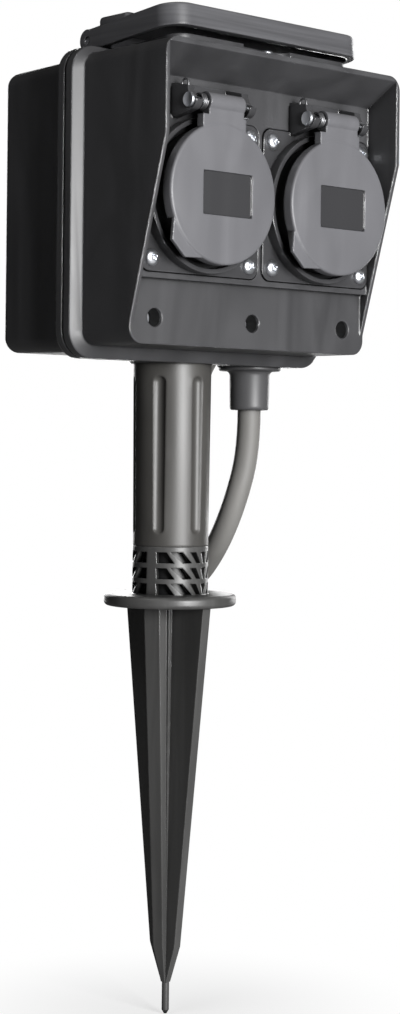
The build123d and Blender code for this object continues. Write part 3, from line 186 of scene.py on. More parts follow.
def moulding_grain():
    """Spark-eroded grain of moulded plastic and rubber, with broad flow marks."""
    group, inlet, outlet = new_group(
        "moulding_grain",
        (("Grain Size", "Float", 1600.0), ("Grain Depth", "Float", 1.0), ("Flow", "Float", 0.5),
         ("Flow Scale", "Vector", (55.0, 55.0, 16.0))),
        (("Height", "Float"), ("Flow Mask", "Float"), ("Speckle", "Float")),
    )
    place = put(group, "TexCoord")
    fine = put(group, "TexNoise", (("Vector", place.outputs["Object"]),
                                   ("Scale", inlet.outputs["Grain Size"]),
                                   ("Detail", 3.0), ("Roughness", 0.6)))
    stretch = put(group, "Mapping", (("Vector", place.outputs["Object"]),
                                     ("Scale", inlet.outputs["Flow Scale"])))
    flow = put(group, "TexNoise", (("Vector", stretch.outputs["Vector"]), ("Scale", 1.0),
                                   ("Detail", 2.0), ("Roughness", 0.55), ("Distortion", 0.8)))
    depth = put(group, "Math", ((0, fine.outputs[0]), (1, inlet.outputs["Grain Depth"])),
                operation="MULTIPLY")
    span = put(group, "MapRange", (("Value", flow.outputs[0]),
                                   ("From Min", 0.35), ("From Max", 0.65)))
    flowed = put(group, "Math", ((0, span.outputs["Result"]), (1, inlet.outputs["Flow"])),
                 operation="MULTIPLY")
    group.links.new(depth.outputs[0], outlet.inputs["Height"])
    group.links.new(flowed.outputs[0], outlet.inputs["Flow Mask"])
    group.links.new(fine.outputs[0], outlet.inputs["Speckle"])
    return group


def edge_wear_and_highlight():
    """Rounds the shading over sharp edges and gives a mask on them, for polish from handling and for
    painted highlight.
    """
    group, inlet, outlet = new_group(
        "edge_wear_and_highlight",
        (("Reach", "Float", 0.0006), ("Amount", "Float", 0.5), ("Height", "Float", 0.0),
         ("Bump", "Float", 0.1)),
        (("Normal", "Vector"), ("Mask", "Float")),
    )
    round_off = put(group, "Bevel", (("Radius", inlet.outputs["Reach"]),), samples=6)
    true = put(group, "NewGeometry")
    agree = put(group, "VectorMath", ((0, round_off.outputs["Normal"]),
                                      (1, true.outputs["Normal"])), operation="DOT_PRODUCT")
    turn = put(group, "MapRange", (("Value", agree.outputs["Value"]),
                                   ("From Min", 0.999), ("From Max", 0.86)))
    place = put(group, "TexCoord")
    patchy = put(group, "TexNoise", (("Vector", place.outputs["Object"]), ("Scale", 240.0),
                                     ("Detail", 3.0)))
    broken = put(group, "MapRange", (("Value", patchy.outputs[0]),
                                     ("From Min", 0.3), ("From Max", 0.62)))
    worn_and_highlit = put(group, "Math", ((0, turn.outputs["Result"]), (1, broken.outputs["Result"])),
                 operation="MULTIPLY")
    mask = put(group, "Math", ((0, worn_and_highlit.outputs[0]), (1, inlet.outputs["Amount"])),
               operation="MULTIPLY")
    bump = put(group, "Bump", (("Strength", inlet.outputs["Bump"]), ("Distance", 0.0002),
                               ("Height", inlet.outputs["Height"]),
                               ("Normal", round_off.outputs["Normal"])))
    group.links.new(bump.outputs["Normal"], outlet.inputs["Normal"])
    group.links.new(mask.outputs[0], outlet.inputs["Mask"])
    return group


def settled_dust():
    """Thin pale dust that lies on what faces up, in soft patches."""
    group, inlet, outlet = new_group(
        "settled_dust",
        (("Amount", "Float", 0.2), ("Patch Size", "Float", 60.0)),
        (("Mask", "Float"),),
    )
    surface = put(group, "NewGeometry")
    parts = put(group, "SeparateXYZ", (("Vector", surface.outputs["Normal"]),))
    upward = put(group, "MapRange", (("Value", parts.outputs["Z"]),
                                     ("From Min", 0.1), ("From Max", 1.0)))
    place = put(group, "TexCoord")
    patches = put(group, "TexNoise", (("Vector", place.outputs["Object"]),
                                      ("Scale", inlet.outputs["Patch Size"]),
                                      ("Detail", 5.0), ("Roughness", 0.65)))
    laid = put(group, "Math", ((0, upward.outputs["Result"]), (1, patches.outputs[0])),
               operation="MULTIPLY")
    mask = put(group, "Math", ((0, laid.outputs[0]), (1, inlet.outputs["Amount"])),
               operation="MULTIPLY")
    group.links.new(mask.outputs[0], outlet.inputs["Mask"])
    return group


def painted_crevice_shade():
    """Mask of painted shade in grooves, corners and deep holes, strongest where little light reaches."""
    group, inlet, outlet = new_group(
        "painted_crevice_shade", (("Reach", "Float", 0.006),), (("Mask", "Float"),))
    hidden = put(group, "AmbientOcclusion", (("Distance", inlet.outputs["Reach"]),), samples=6)
    mask = put(group, "MapRange", (("Value", hidden.outputs["AO"]),
                                   ("From Min", 0.75), ("From Max", 0.3)))
    group.links.new(mask.outputs["Result"], outlet.inputs["Mask"])
    return group


GRAIN = moulding_grain()
WEAR_AND_HIGHLIGHT = edge_wear_and_highlight()
DUST = settled_dust()
CREVICE_SHADE = painted_crevice_shade()


def moulded(name, colour, roughness, grain=1600.0, bump=0.12, flow=0.3, wear_and_highlight=0.5, dust=0.15,
            wear_and_highlight_reach=0.6, flow_scale=(55.0, 55.0, 16.0)):
    """Moulded plastic or rubber: grain, flow marks, worn edges with painted highlight, painted shade in
    its grooves, some dust.
    """
    material = bpy.data.materials.new(name)
    material.use_nodes = True
    tree = material.node_tree
    tree.nodes.clear()
    grained = tree.nodes.new("ShaderNodeGroup")
    grained.node_tree = GRAIN
    grained.inputs["Grain Size"].default_value = grain
    grained.inputs["Flow"].default_value = flow
    grained.inputs["Flow Scale"].default_value = flow_scale
    worn_and_highlit = tree.nodes.new("ShaderNodeGroup")
    worn_and_highlit.node_tree = WEAR_AND_HIGHLIGHT
    worn_and_highlit.inputs["Reach"].default_value = wear_and_highlight_reach * MM
    worn_and_highlit.inputs["Amount"].default_value = wear_and_highlight
    worn_and_highlit.inputs["Bump"].default_value = bump
    tree.links.new(grained.outputs["Height"], worn_and_highlit.inputs["Height"])
    dusted = tree.nodes.new("ShaderNodeGroup")
    dusted.node_tree = DUST
    dusted.inputs["Amount"].default_value = dust
    base = put(tree, "Mix", (("Factor", grained.outputs["Flow Mask"]),
                             (6, (*colour, 1)), (7, (*(c * 1.5 for c in colour), 1))),
               data_type="RGBA")
    # painted highlight along with wear: sharp edges are mixed towards a paler colour
    wear_and_highlight_colour = put(tree, "Mix", (("Factor", worn_and_highlit.outputs["Mask"]), (6, base.outputs[2]),
                             (7, (*(c * 2.2 + 0.02 for c in colour), 1))),
               data_type="RGBA")
    dusty = put(tree, "Mix", (("Factor", dusted.outputs["Mask"]), (6, wear_and_highlight_colour.outputs[2]),
                              (7, (0.32, 0.31, 0.29, 1))), data_type="RGBA")
    spread = put(tree, "MapRange", (("Value", grained.outputs["Flow Mask"]),
                                    ("To Min", roughness), ("To Max", roughness + 0.1)))
    polished = put(tree, "Math", ((0, spread.outputs["Result"]), (1, worn_and_highlit.outputs["Mask"])),
                   operation="SUBTRACT", use_clamp=True)
    # painted shade: grooves, corners and deep holes are mixed towards a much darker colour
    crevice_shade_mask = tree.nodes.new("ShaderNodeGroup")
    crevice_shade_mask.node_tree = CREVICE_SHADE
    with_crevice_shade = put(tree, "Mix", (("Factor", crevice_shade_mask.outputs["Mask"]), (6, dusty.outputs[2]),
                              (7, (*(c * 0.12 for c in colour), 1))), data_type="RGBA")
    shader = put(tree, "BsdfPrincipled", (("Base Color", with_crevice_shade.outputs[2]),
                                          ("Roughness", polished.outputs[0]),
                                          ("Normal", worn_and_highlit.outputs["Normal"])))
    output = put(tree, "OutputMaterial")
    tree.links.new(shader.outputs[0], output.inputs["Surface"])
    return material


cord_rubber = moulded("cord_rubber", (0.125, 0.122, 0.116), 0.58, grain=900.0, bump=0.2, flow=0.5,
                      wear_and_highlight=0.0, dust=0.25, wear_and_highlight_reach=0.2)
cord_curve.materials.append(cord_rubber)

# Gland: a round boss screwed into the underside of the housing, whose short rubber sleeve grips the
# cord and keeps it from kinking. One turned form of black rubber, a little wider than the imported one.
GLAND_X = 36.1


def turned(profile, steps=64):
    """A closed form turned about the vertical axis, from (radius, height) pairs that end on it."""
    form = bmesh.new()
    verts = [form.verts.new((r, 0, z)) for r, z in profile]
    line = [form.edges.new(pair) for pair in zip(verts, verts[1:])]
    bmesh.ops.spin(form, geom=verts + line, cent=(0, 0, 0), axis=(0, 0, 1), angle=2 * pi,
                   steps=steps, use_merge=True)
    bmesh.ops.remove_doubles(form, verts=form.verts, dist=1e-5)
    bmesh.ops.recalc_face_normals(form, faces=form.faces)
    return form


def smoothed(form, sharp):
    """Smooth faces, and sharp edges where two of them meet at more than the angle in degrees."""
    for face in form.faces:
        face.smooth = True
    for edge in form.edges:
        edge.smooth = len(edge.link_faces) == 2 and edge.calc_face_angle(0) < radians(sharp)


def as_piece(form, name, body, material, replaced):
    """Makes the object of a form in metres, hangs it on its body and hides the imported parts it
    replaces.
    """
    mesh = bpy.data.meshes.new(name)
    form.to_mesh(mesh)
    form.free()
    piece = bpy.data.objects.new(name, mesh)
    mesh.materials.append(material)
    scene.collection.objects.link(piece)
    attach(piece, body)
    if replaced:
        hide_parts(*replaced)
    return piece


def placed(form, name, body, material, replaced=(), sharp=40):
    """A piece of the scene's own, from a form in millimetres."""
    smoothed(form, sharp)
    bmesh.ops.scale(form, vec=(MM, MM, MM), verts=form.verts)
    return as_piece(form, name, body, material, replaced)


gland_rubber = moulded("gland_rubber", (0.055, 0.055, 0.057), 0.42, bump=0.1, flow=0.4, wear_and_highlight=0.3,
                       dust=0.1)
gland_form = turned((
    (0, 67.1), (4.3, 67.1), (5.2, 67.1), (6.4, 67.2), (6.8, 67.6), (6.9, 68.4),
    (7.1, 79.4), (7.4, 80.3), (8.1, 80.8), (10.4, 80.9), (10.9, 81.2), (11.0, 81.6),
    (11.0, 82.05), (0, 82.05),
))
bmesh.ops.translate(gland_form, vec=(GLAND_X, 0, 0), verts=gland_form.verts)
placed(gland_form, "cord_gland", "housing", gland_rubber, ("gland",))

# Front shell: the main moulding, a box with a rain hood, a stepped panel and half of the seam flange,
# moulded in one piece of black polypropylene with a satin, spark-eroded face. Three screws go down
# the deep round holes in its lower panel.
shell_plastic = moulded("shell_plastic", (0.034, 0.034, 0.036), 0.42, grain=1500.0, bump=0.1,
                        flow=0.8, wear_and_highlight=0.85, dust=0.08, wear_and_highlight_reach=0.9)
WELD = 2e-6
FLAT_ANGLE = 0.5
SHARP_ANGLE = 28


def finished_moulding(source, name, body, material, reshape=None):
    """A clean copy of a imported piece: merged, its flats made whole and its faces smooth."""
    form = bmesh.new()
    form.from_mesh(node[source].data)
    bmesh.ops.remove_doubles(form, verts=form.verts, dist=WELD)
    bmesh.ops.dissolve_limit(form, angle_limit=radians(FLAT_ANGLE), verts=form.verts,
                             edges=form.edges)
    if reshape:
        reshape(form)
    smoothed(form, SHARP_ANGLE)
    return as_piece(form, name, body, material, (source,))


FRONT_HOLES_X = (-42.1, 0.0, 42.1)
FRONT_HOLES_Z = 94.5
FRONT_HOLE_R = 3.05
HOLE_RIM_Y = -38.3


def shade_painted_holes(material):
    """Painted shade: the walls of the three deep screw holes are painted black and dull from 1 mm below
    the panel.
    """
    tree = material.node_tree
    shader = next(n for n in tree.nodes if n.type == "BSDF_PRINCIPLED")
    place = put(tree, "TexCoord")
    parts = put(tree, "SeparateXYZ", (("Vector", place.outputs["Object"]),))
    behind = put(tree, "Math", ((0, parts.outputs["Y"]), (1, HOLE_RIM_Y * MM)),
                 operation="GREATER_THAN")
    flat = put(tree, "CombineXYZ", (("X", parts.outputs["X"]), ("Z", parts.outputs["Z"])))
    inside = None
    for hole_x in FRONT_HOLES_X:
        away = put(tree, "VectorMath", ((0, flat.outputs[0]),
                                        (1, (hole_x * MM, 0, FRONT_HOLES_Z * MM))),
                   operation="DISTANCE")
        near = put(tree, "Math", ((0, away.outputs["Value"]), (1, FRONT_HOLE_R * MM)),
                   operation="LESS_THAN")
        if inside is None:
            inside = near
        else:
            inside = put(tree, "Math", ((0, inside.outputs[0]), (1, near.outputs[0])),
                         operation="MAXIMUM")
    mask = put(tree, "Math", ((0, inside.outputs[0]), (1, behind.outputs[0])),
               operation="MULTIPLY")
    lit = shader.inputs["Base Color"].links[0].from_socket
    hole_shade = put(tree, "Mix", (("Factor", mask.outputs[0]), (6, lit),
                              (7, (0.0008, 0.0008, 0.0008, 1))), data_type="RGBA")
    tree.links.new(hole_shade.outputs[2], shader.inputs["Base Color"])
    satin = shader.inputs["Roughness"].links[0].from_socket
    dull = put(tree, "Mix", (("Factor", mask.outputs[0]), (2, satin), (3, 1.0)),
               data_type="FLOAT")
    tree.links.new(dull.outputs[0], shader.inputs["Roughness"])


# The front shell's own copy of the shell plastic, with painted shade in its three screw holes.
front_plastic_hole_shade = moulded("front_plastic_hole_shade", (0.034, 0.034, 0.036), 0.42, grain=1500.0, bump=0.1,
                        flow=0.8, wear_and_highlight=0.85, dust=0.08, wear_and_highlight_reach=0.9)
shade_painted_holes(front_plastic_hole_shade)
finished_moulding("front_shell", "front_moulding", "housing", front_plastic_hole_shade)

# Back shell: the drafted box behind the seam, with the cord hook, of the same black polypropylene.
# It is moulded in one piece and is drawn to the front shell by the three case screws.
finished_moulding("back_shell", "back_moulding", "housing", shell_plastic)

# Seals: a rubber cord pinched between the two flanges, a flat gasket under each socket plate and a
# ring in each lid. Soft black rubber, cut or moulded to shape and laid in place.
seal_rubber = moulded("seal_rubber", (0.02, 0.02, 0.02), 0.65, bump=0.05, flow=0.2, wear_and_highlight=0.0,
                      dust=0.05)


def painted(names, material):
    """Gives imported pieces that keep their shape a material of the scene."""
    for name in names:
        node[name].data.materials.clear()
        node[name].data.materials.append(material)


painted(("shell_seal", "left_plate_gasket", "right_plate_gasket", "left_lid_seal",
         "right_lid_seal"), seal_rubber)

# Top collar: the wedge-shaped frame on the roof that carries the terminal tray and stops the cover.
# Moulded of the shells' plastic and held by one screw.
finished_moulding("top_collar", "roof_collar", "housing", shell_plastic)

# Weather cover: a tilted tray, upside down, hinged along its back edge over the terminals. Moulded of
# a slightly paler plastic, whose skirt shows fine level streaks from the tool.
cover_plastic = moulded("cover_plastic", (0.06, 0.06, 0.064), 0.36, grain=1500.0, bump=0.1,
                        flow=0.7, wear_and_highlight=0.5, dust=0.1, wear_and_highlight_reach=0.9, flow_scale=(14.0, 14.0, 620.0))
finished_moulding("top_cover", "weather_cover", "top_cover", cover_plastic)

# Hinge lugs: two upright ears on the back shell's roof, moulded of the same plastic, which hold the
# ends of the cover's pin.
finished_moulding("hinge_lugs", "cover_hinge_lugs", "housing", shell_plastic)

# Hump: a low rounded boss on the cover's back left corner, over the end of the hinge pin. It is
# moulded with the cover, of the same plastic.
HUMP_SIZE = (13.0, 15.0, 4.0)
HUMP_PLACE = (-36.2, -17.6, 190.6)
HUMP_CORNER_R = 1.8
HUMP_CROWN_R = 1.4
hump_form = bmesh.new()
bmesh.ops.create_cube(hump_form, size=1)
bmesh.ops.scale(hump_form, vec=HUMP_SIZE, verts=hump_form.verts)
upright = [e for e in hump_form.edges if abs(e.verts[0].co.z - e.verts[1].co.z) > 1]
bmesh.ops.bevel(hump_form, geom=upright, offset=HUMP_CORNER_R, offset_type="OFFSET",
                affect="EDGES", segments=6, profile=0.5, material=-1)
upper = [e for e in hump_form.edges if all(v.co.z > HUMP_SIZE[2] / 2 - 0.1 for v in e.verts)]
bmesh.ops.bevel(hump_form, geom=upper, offset=HUMP_CROWN_R, offset_type="OFFSET",
                affect="EDGES", segments=5, profile=0.5, material=-1)
bmesh.ops.translate(hump_form, vec=HUMP_PLACE, verts=hump_form.verts)
placed(hump_form, "cover_hump", "top_cover", cover_plastic, sharp=60)

# Socket fronts: plate, collar ring, well and the two ears of the hinge, moulded in one piece of a
# harder and slightly glossier plastic. A darker carrier with the contacts sits behind each well.
socket_plastic = moulded("socket_plastic", (0.032, 0.032, 0.034), 0.36, grain=1700.0, bump=0.07,
                         flow=0.4, wear_and_highlight=0.8, dust=0.1, wear_and_highlight_reach=0.8)
carrier_plastic = moulded("carrier_plastic", (0.022, 0.022, 0.024), 0.45, bump=0.06, flow=0.2,
                          wear_and_highlight=0.1, dust=0.1)
EAR_CROWN_Z = 164.5
EAR_FRONT_Y = -46
EAR_RISE = 1.8


def raise_ears(form):
    """The ears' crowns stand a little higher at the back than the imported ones."""
    for vert in form.verts:
        if vert.co.z > EAR_CROWN_Z * MM and vert.co.y > EAR_FRONT_Y * MM:
            vert.co.z += EAR_RISE * MM


for hand in ("left", "right"):
    finished_moulding(f"{hand}_socket_front", f"{hand}_outlet_front", "housing",
                      socket_plastic, reshape=raise_ears)
    painted((f"{hand}_contact_carrier",), carrier_plastic)


# Metal parts that stay as packed: zinc-plated steel screws and the cover's pin, nickel-plated earth
# clips, plug pins and earth strips, and turned brass contacts, screwed or pressed into the mouldings.
def metal(name, colour, roughness, brushed=0.25, spots=0.3):
    """Bare or plated metal with fine brushing and dull spots."""
    material = bpy.data.materials.new(name)
    material.use_nodes = True
    tree = material.node_tree
    tree.nodes.clear()
    place = put(tree, "TexCoord")
    drawn = put(tree, "Mapping", (("Vector", place.outputs["Object"]),
                                  ("Scale", (400.0, 400.0, 4000.0))))
    lines = put(tree, "TexNoise", (("Vector", drawn.outputs["Vector"]), ("Scale", 1.0),
                                   ("Detail", 2.0)))
    cloud = put(tree, "TexNoise", (("Vector", place.outputs["Object"]), ("Scale", 500.0),
                                   ("Detail", 4.0)))
    dull = put(tree, "MapRange", (("Value", cloud.outputs[0]), ("From Min", 0.45),
                                  ("From Max", 0.75), ("To Max", spots)))
    tint = put(tree, "Mix", (("Factor", dull.outputs["Result"]), (6, (*colour, 1)),
                             (7, (*(c * 0.55 for c in colour), 1))), data_type="RGBA")
    rough = put(tree, "MapRange", (("Value", lines.outputs[0]),
                                   ("To Min", roughness - 0.08), ("To Max", roughness + 0.12)))
    round_off = put(tree, "Bevel", (("Radius", 0.0003),), samples=6)
    bump = put(tree, "Bump", (("Strength", brushed), ("Distance", 0.00003),
                              ("Height", lines.outputs[0]),
                              ("Normal", round_off.outputs["Normal"])))
    shader = put(tree, "BsdfPrincipled", (("Base Color", tint.outputs[2]), ("Metallic", 1.0),
                                          ("Roughness", rough.outputs["Result"]),
                                          ("Normal", bump.outputs["Normal"])))
    output = put(tree, "OutputMaterial")
    tree.links.new(shader.outputs[0], output.inputs["Surface"])
    return material


zinc = metal("zinc_plate", (0.8, 0.82, 0.86), 0.34, brushed=0.1, spots=0.15)
spring_steel = metal("spring_steel", (0.3, 0.3, 0.31), 0.42, spots=0.5)
nickel = metal("nickel_plate", (0.7, 0.67, 0.6), 0.3, brushed=0.06, spots=0.15)
brass = metal("turned_brass", (0.75, 0.55, 0.25), 0.3)
painted(("case_screws", "collar_screw", "cover_hinge_pin", "post_screw", "terminal_screws"), zinc)
painted(("left_earth_clip", "right_earth_clip", "plug_pins", "plug_earth_strips"), nickel)
painted(("left_line_contacts", "right_line_contacts"), brass)

# Plate screws: four pan heads with a cross recess at the corners of each socket plate, of zinc-plated
# steel, driven through the plate into the panel behind it.
SOCKET_X = 25.9
SOCKET_Z = 133.5
SCREW_PITCH = 20.7
PLATE_FRONT_Y = -42.6
FLAT_GAP = 0.05
HEAD_R = 2.65
HEAD_T = 1.5
SHANK_R = 1.45
SHANK_LEN = 9
CROSS_R = 0.9
for hand, socket_x in (("left", -SOCKET_X), ("right", SOCKET_X)):
    heads = bmesh.new()
    for k, (u, v) in enumerate(((-1, -1), (1, -1), (-1, 1), (1, 1))):
        head = turned((
            (0, -SHANK_LEN), (SHANK_R - 0.05, -SHANK_LEN), (SHANK_R, 0.6 - SHANK_LEN), (SHANK_R, 0),
            (HEAD_R, 0), (HEAD_R, 0.5), (HEAD_R - 0.25, 0.95), (HEAD_R - 0.8, 1.3),
            (HEAD_R - 1.5, HEAD_T), (CROSS_R, HEAD_T), (CROSS_R - 0.15, 0.6), (0, 0.45),
        ), 32)
        # the cross: the recess's rim is drawn out at its four wings and in between them
        for vert in head.verts:
            reach = Vector((vert.co.x, vert.co.y)).length
            if 0.7 < reach < 1.2 and vert.co.z > 1.3:
                angle = 4 * Vector((vert.co.x, vert.co.y)).angle_signed(Vector((1, 0)))
                vert.co.xy *= 1 + 0.45 * max(0.0, cos(angle)) - 0.3 * max(0.0, -cos(angle))
        bmesh.ops.rotate(head, cent=(0, 0, 0), matrix=Matrix.Rotation(radians(25 + 31 * k), 3, "Z"),
                         verts=head.verts)
        bmesh.ops.rotate(head, cent=(0, 0, 0), matrix=Matrix.Rotation(radians(90), 3, "X"),
                         verts=head.verts)
        seat = (socket_x + u * SCREW_PITCH, PLATE_FRONT_Y - FLAT_GAP, SOCKET_Z + v * SCREW_PITCH)
        bmesh.ops.translate(head, vec=seat, verts=head.verts)
        held = bpy.data.meshes.new("head")
        head.to_mesh(held)
        head.free()
        heads.from_mesh(held)
        bpy.data.meshes.remove(held)
    placed(heads, f"{hand}_plate_screw_heads", "housing", zinc,
           (f"{hand}_plate_screws",))

# Lids: round caps on a strap, each with a finger tab and a bare recessed field, moulded of a paler,
# finer-grained plastic and sprung shut on a pin between the ears.
LID_R = 22.3
LID_FRONT_Y = -53.5
FIELD_W = 20.8
FIELD_H = 13.8
FIELD_SHIFT = 1.5
TAB_T = 1.5
TAB_BELOW = 8


def thin_tab(form):
    """The finger tab is a thin lip, level with the cap's face."""
    for vert in form.verts:
        beside = min(abs(vert.co.x / MM + SOCKET_X), abs(vert.co.x / MM - SOCKET_X))
        reach = Vector((beside, vert.co.z / MM - SOCKET_Z)).length
        if reach > LID_R + 0.02 and vert.co.z < (SOCKET_Z - TAB_BELOW) * MM:
            vert.co.y = min(vert.co.y, (LID_FRONT_Y + TAB_T) * MM)


for hand, socket_x in (("left", -SOCKET_X), ("right", SOCKET_X)):
    material = moulded(f"{hand}_lid_plastic", (0.098, 0.098, 0.105), 0.4, grain=1900.0, bump=0.06,
                       flow=0.4, wear_and_highlight=0.3, dust=0.1, wear_and_highlight_reach=0.8)
    tree = material.node_tree
    shader = next(n for n in tree.nodes if n.type == "BSDF_PRINCIPLED")
    colour = shader.inputs["Base Color"].links[0].from_socket
    place = put(tree, "TexCoord")
    centred = put(tree, "VectorMath", ((0, place.outputs["Object"]),
                                       (1, ((socket_x + FIELD_SHIFT) * MM, 0, SOCKET_Z * MM))),
                  operation="SUBTRACT")
    parts = put(tree, "SeparateXYZ", (("Vector", centred.outputs[0]),))
    inside = None
    for axis, reach in (("X", FIELD_W / 2), ("Z", FIELD_H / 2)):
        away = put(tree, "Math", ((0, parts.outputs[axis]),), operation="ABSOLUTE")
        within = put(tree, "Math", ((0, away.outputs[0]), (1, (reach + 0.02) * MM)),
                     operation="LESS_THAN")
        if inside is None:
            inside = within
        else:
            inside = put(tree, "Math", ((0, inside.outputs[0]), (1, within.outputs[0])),
                         operation="MULTIPLY")
    sunk = put(tree, "Mix", (("Factor", inside.outputs[0]), (6, colour),
                             (7, (0.026, 0.026, 0.028, 1))), data_type="RGBA")
    tree.links.new(sunk.outputs[2], shader.inputs["Base Color"])
    finished_moulding(f"{hand}_lid", f"{hand}_cap", f"{hand}_lid", material,
                      reshape=thin_tab)

# Hinge pins, lid springs and wire arches: a headed zinc-plated pin through both ears, a torsion spring
# of steel wire wound round it beside the barrel, and a bent end of that wire over the left ear.
HINGE_Y = -51.0
HINGE_Z = 162.0
EAR_OUT = 12.8
WIRE_R = 0.35
SPRING_WIRE_R = 0.32
SPRING_R = 2.35
SPRING_TURNS = 3
SPRING_START = 9.3
SPRING_LEN = 2.2
CORNERS_PER_TURN = 12
ARCH_IN = 11.4
ARCH = ((-48.8, 165.6), (-48.8, 167.3), (-48.4, 168.6), (-47.2, 169.2), (-46.0, 168.6),
        (-45.6, 167.3), (-45.6, 165.6))


def wire(name, points, radius, material):
    """A bent steel wire of the housing, a round curve along the points in millimetres."""
    curve = bpy.data.curves.new(name, "CURVE")
    curve.dimensions = "3D"
    curve.resolution_u = 6
    curve.bevel_depth = 1
    curve.bevel_resolution = 4
    curve.use_fill_caps = True
    strand = curve.splines.new("NURBS")
    strand.points.add(len(points) - 1)
    for point, place in zip(strand.points, points):
        point.co = (*(Vector(place) * MM), 1)
        point.radius = radius * MM
    strand.order_u = 3
    strand.use_endpoint_u = True
    curve.materials.append(material)
    piece = bpy.data.objects.new(name, curve)
    scene.collection.objects.link(piece)
    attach(piece, "housing")
    return piece


for hand, socket_x in (("left", -SOCKET_X), ("right", SOCKET_X)):
    pin = turned((
        (0, -1.0), (1.9, -1.0), (2.25, -0.85), (2.4, -0.5), (2.4, 0.0), (1.2, 0.0),
        (1.2, 26.2), (0.9, 26.6), (0, 26.6),
    ), 48)
    bmesh.ops.rotate(pin, cent=(0, 0, 0), matrix=Matrix.Rotation(radians(90), 3, "Y"),
                     verts=pin.verts)
    bmesh.ops.translate(pin, vec=(socket_x - EAR_OUT - FLAT_GAP, HINGE_Y, HINGE_Z),
                        verts=pin.verts)
    placed(pin, f"{hand}_lid_pin", "housing", zinc, (f"{hand}_hinge_pin",))
    coil = []
    corners = CORNERS_PER_TURN * SPRING_TURNS
    for k in range(corners + 1):
        angle = 2 * pi * k / CORNERS_PER_TURN
        coil.append((socket_x - SPRING_START + SPRING_LEN * k / corners,
                     HINGE_Y - SPRING_R * cos(angle), HINGE_Z + SPRING_R * sin(angle)))
    spring = wire(f"{hand}_spring_wire", coil, SPRING_WIRE_R, spring_steel)
    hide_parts(f"{hand}_lid_spring")
    arch = [(socket_x - ARCH_IN, y, z) for y, z in ARCH]
    wire(f"{hand}_wire_arch", arch, WIRE_R, spring_steel)

# Post: a tapered tube with six round-ended flutes, moulded of black plastic with a satin face, which
# is fitted over the spike's spigot and locked there by a screw.
post_plastic = moulded("post_plastic", (0.043, 0.0415, 0.039), 0.42, grain=1500.0, bump=0.1,
                       flow=0.6, wear_and_highlight=0.06, dust=0.1, wear_and_highlight_reach=1.2)
finished_moulding("post", "fluted_post", "housing", post_plastic)

# Spike: step disc, lattice neck and a four-bladed point, moulded in one piece of glass-filled plastic,
# with flow marks along the blades.
spike_plastic = moulded("spike_plastic", (0.045, 0.0447, 0.044), 0.38, grain=1300.0, bump=0.12,
                        flow=0.6, wear_and_highlight=0.7, dust=0.05, flow_scale=(160.0, 160.0, 14.0))
BLADE_TOP_Z = 0.6
BLADE_FOOT_Z = -120.0
RIB_REACH = 8.9
RIB_BEVEL = 2.3
RIB_GAIN = 1.3


def shape_blades(form):
    """The rear blade reaches a little further out, and the left rib is thicker with a bevelled front."""
    for vert in form.verts:
        x, y, z = (c / MM for c in vert.co)
        if not BLADE_FOOT_Z < z < BLADE_TOP_Z:
            continue
        if abs(x) < 2.2 and 4.0 < y < 19.5:
            vert.co.y += (0.6 + 0.075 * y) * MM
        if -10.0 < x < -3.4 and abs(y) < 3.0:
            share = -x / RIB_REACH
            if y < 0:
                vert.co.x += RIB_BEVEL * share * MM
            else:
                vert.co.y += RIB_GAIN * share * MM


finished_moulding("spike", "ground_spike", "housing", spike_plastic,
                  reshape=shape_blades)

# Neck plug: a plain drum of black plastic that stands on the step disc inside the hollow neck, a dark
# thing put there as painted shade so that the lattice's windows show dark.
CORE_R = 9.0
CORE_FOOT_Z = 3.05
CORE_TOP_Z = 19.0
shade_plug_form = turned((
    (0, CORE_FOOT_Z), (CORE_R, CORE_FOOT_Z), (CORE_R, CORE_TOP_Z - 0.5),
    (CORE_R - 0.6, CORE_TOP_Z), (0, CORE_TOP_Z),
), 48)
placed(shade_plug_form, "neck_shade_plug", "housing", carrier_plastic)

# Terminals: a pale moulded block in the tray on the roof, whose three screws clamp the three cores
# that come up from the gland in their coloured sheaths.
block_plastic = moulded("block_plastic", (0.62, 0.6, 0.54), 0.35, bump=0.04, flow=0.2, wear_and_highlight=0.1,
                        dust=0.2)
core_sheath = moulded("core_sheath", (0.04, 0.07, 0.25), 0.4, bump=0.05, flow=0.2, wear_and_highlight=0.0,
                      dust=0.05)
painted(("terminal_block",), block_plastic)
painted(("supply_wires",), core_sheath)

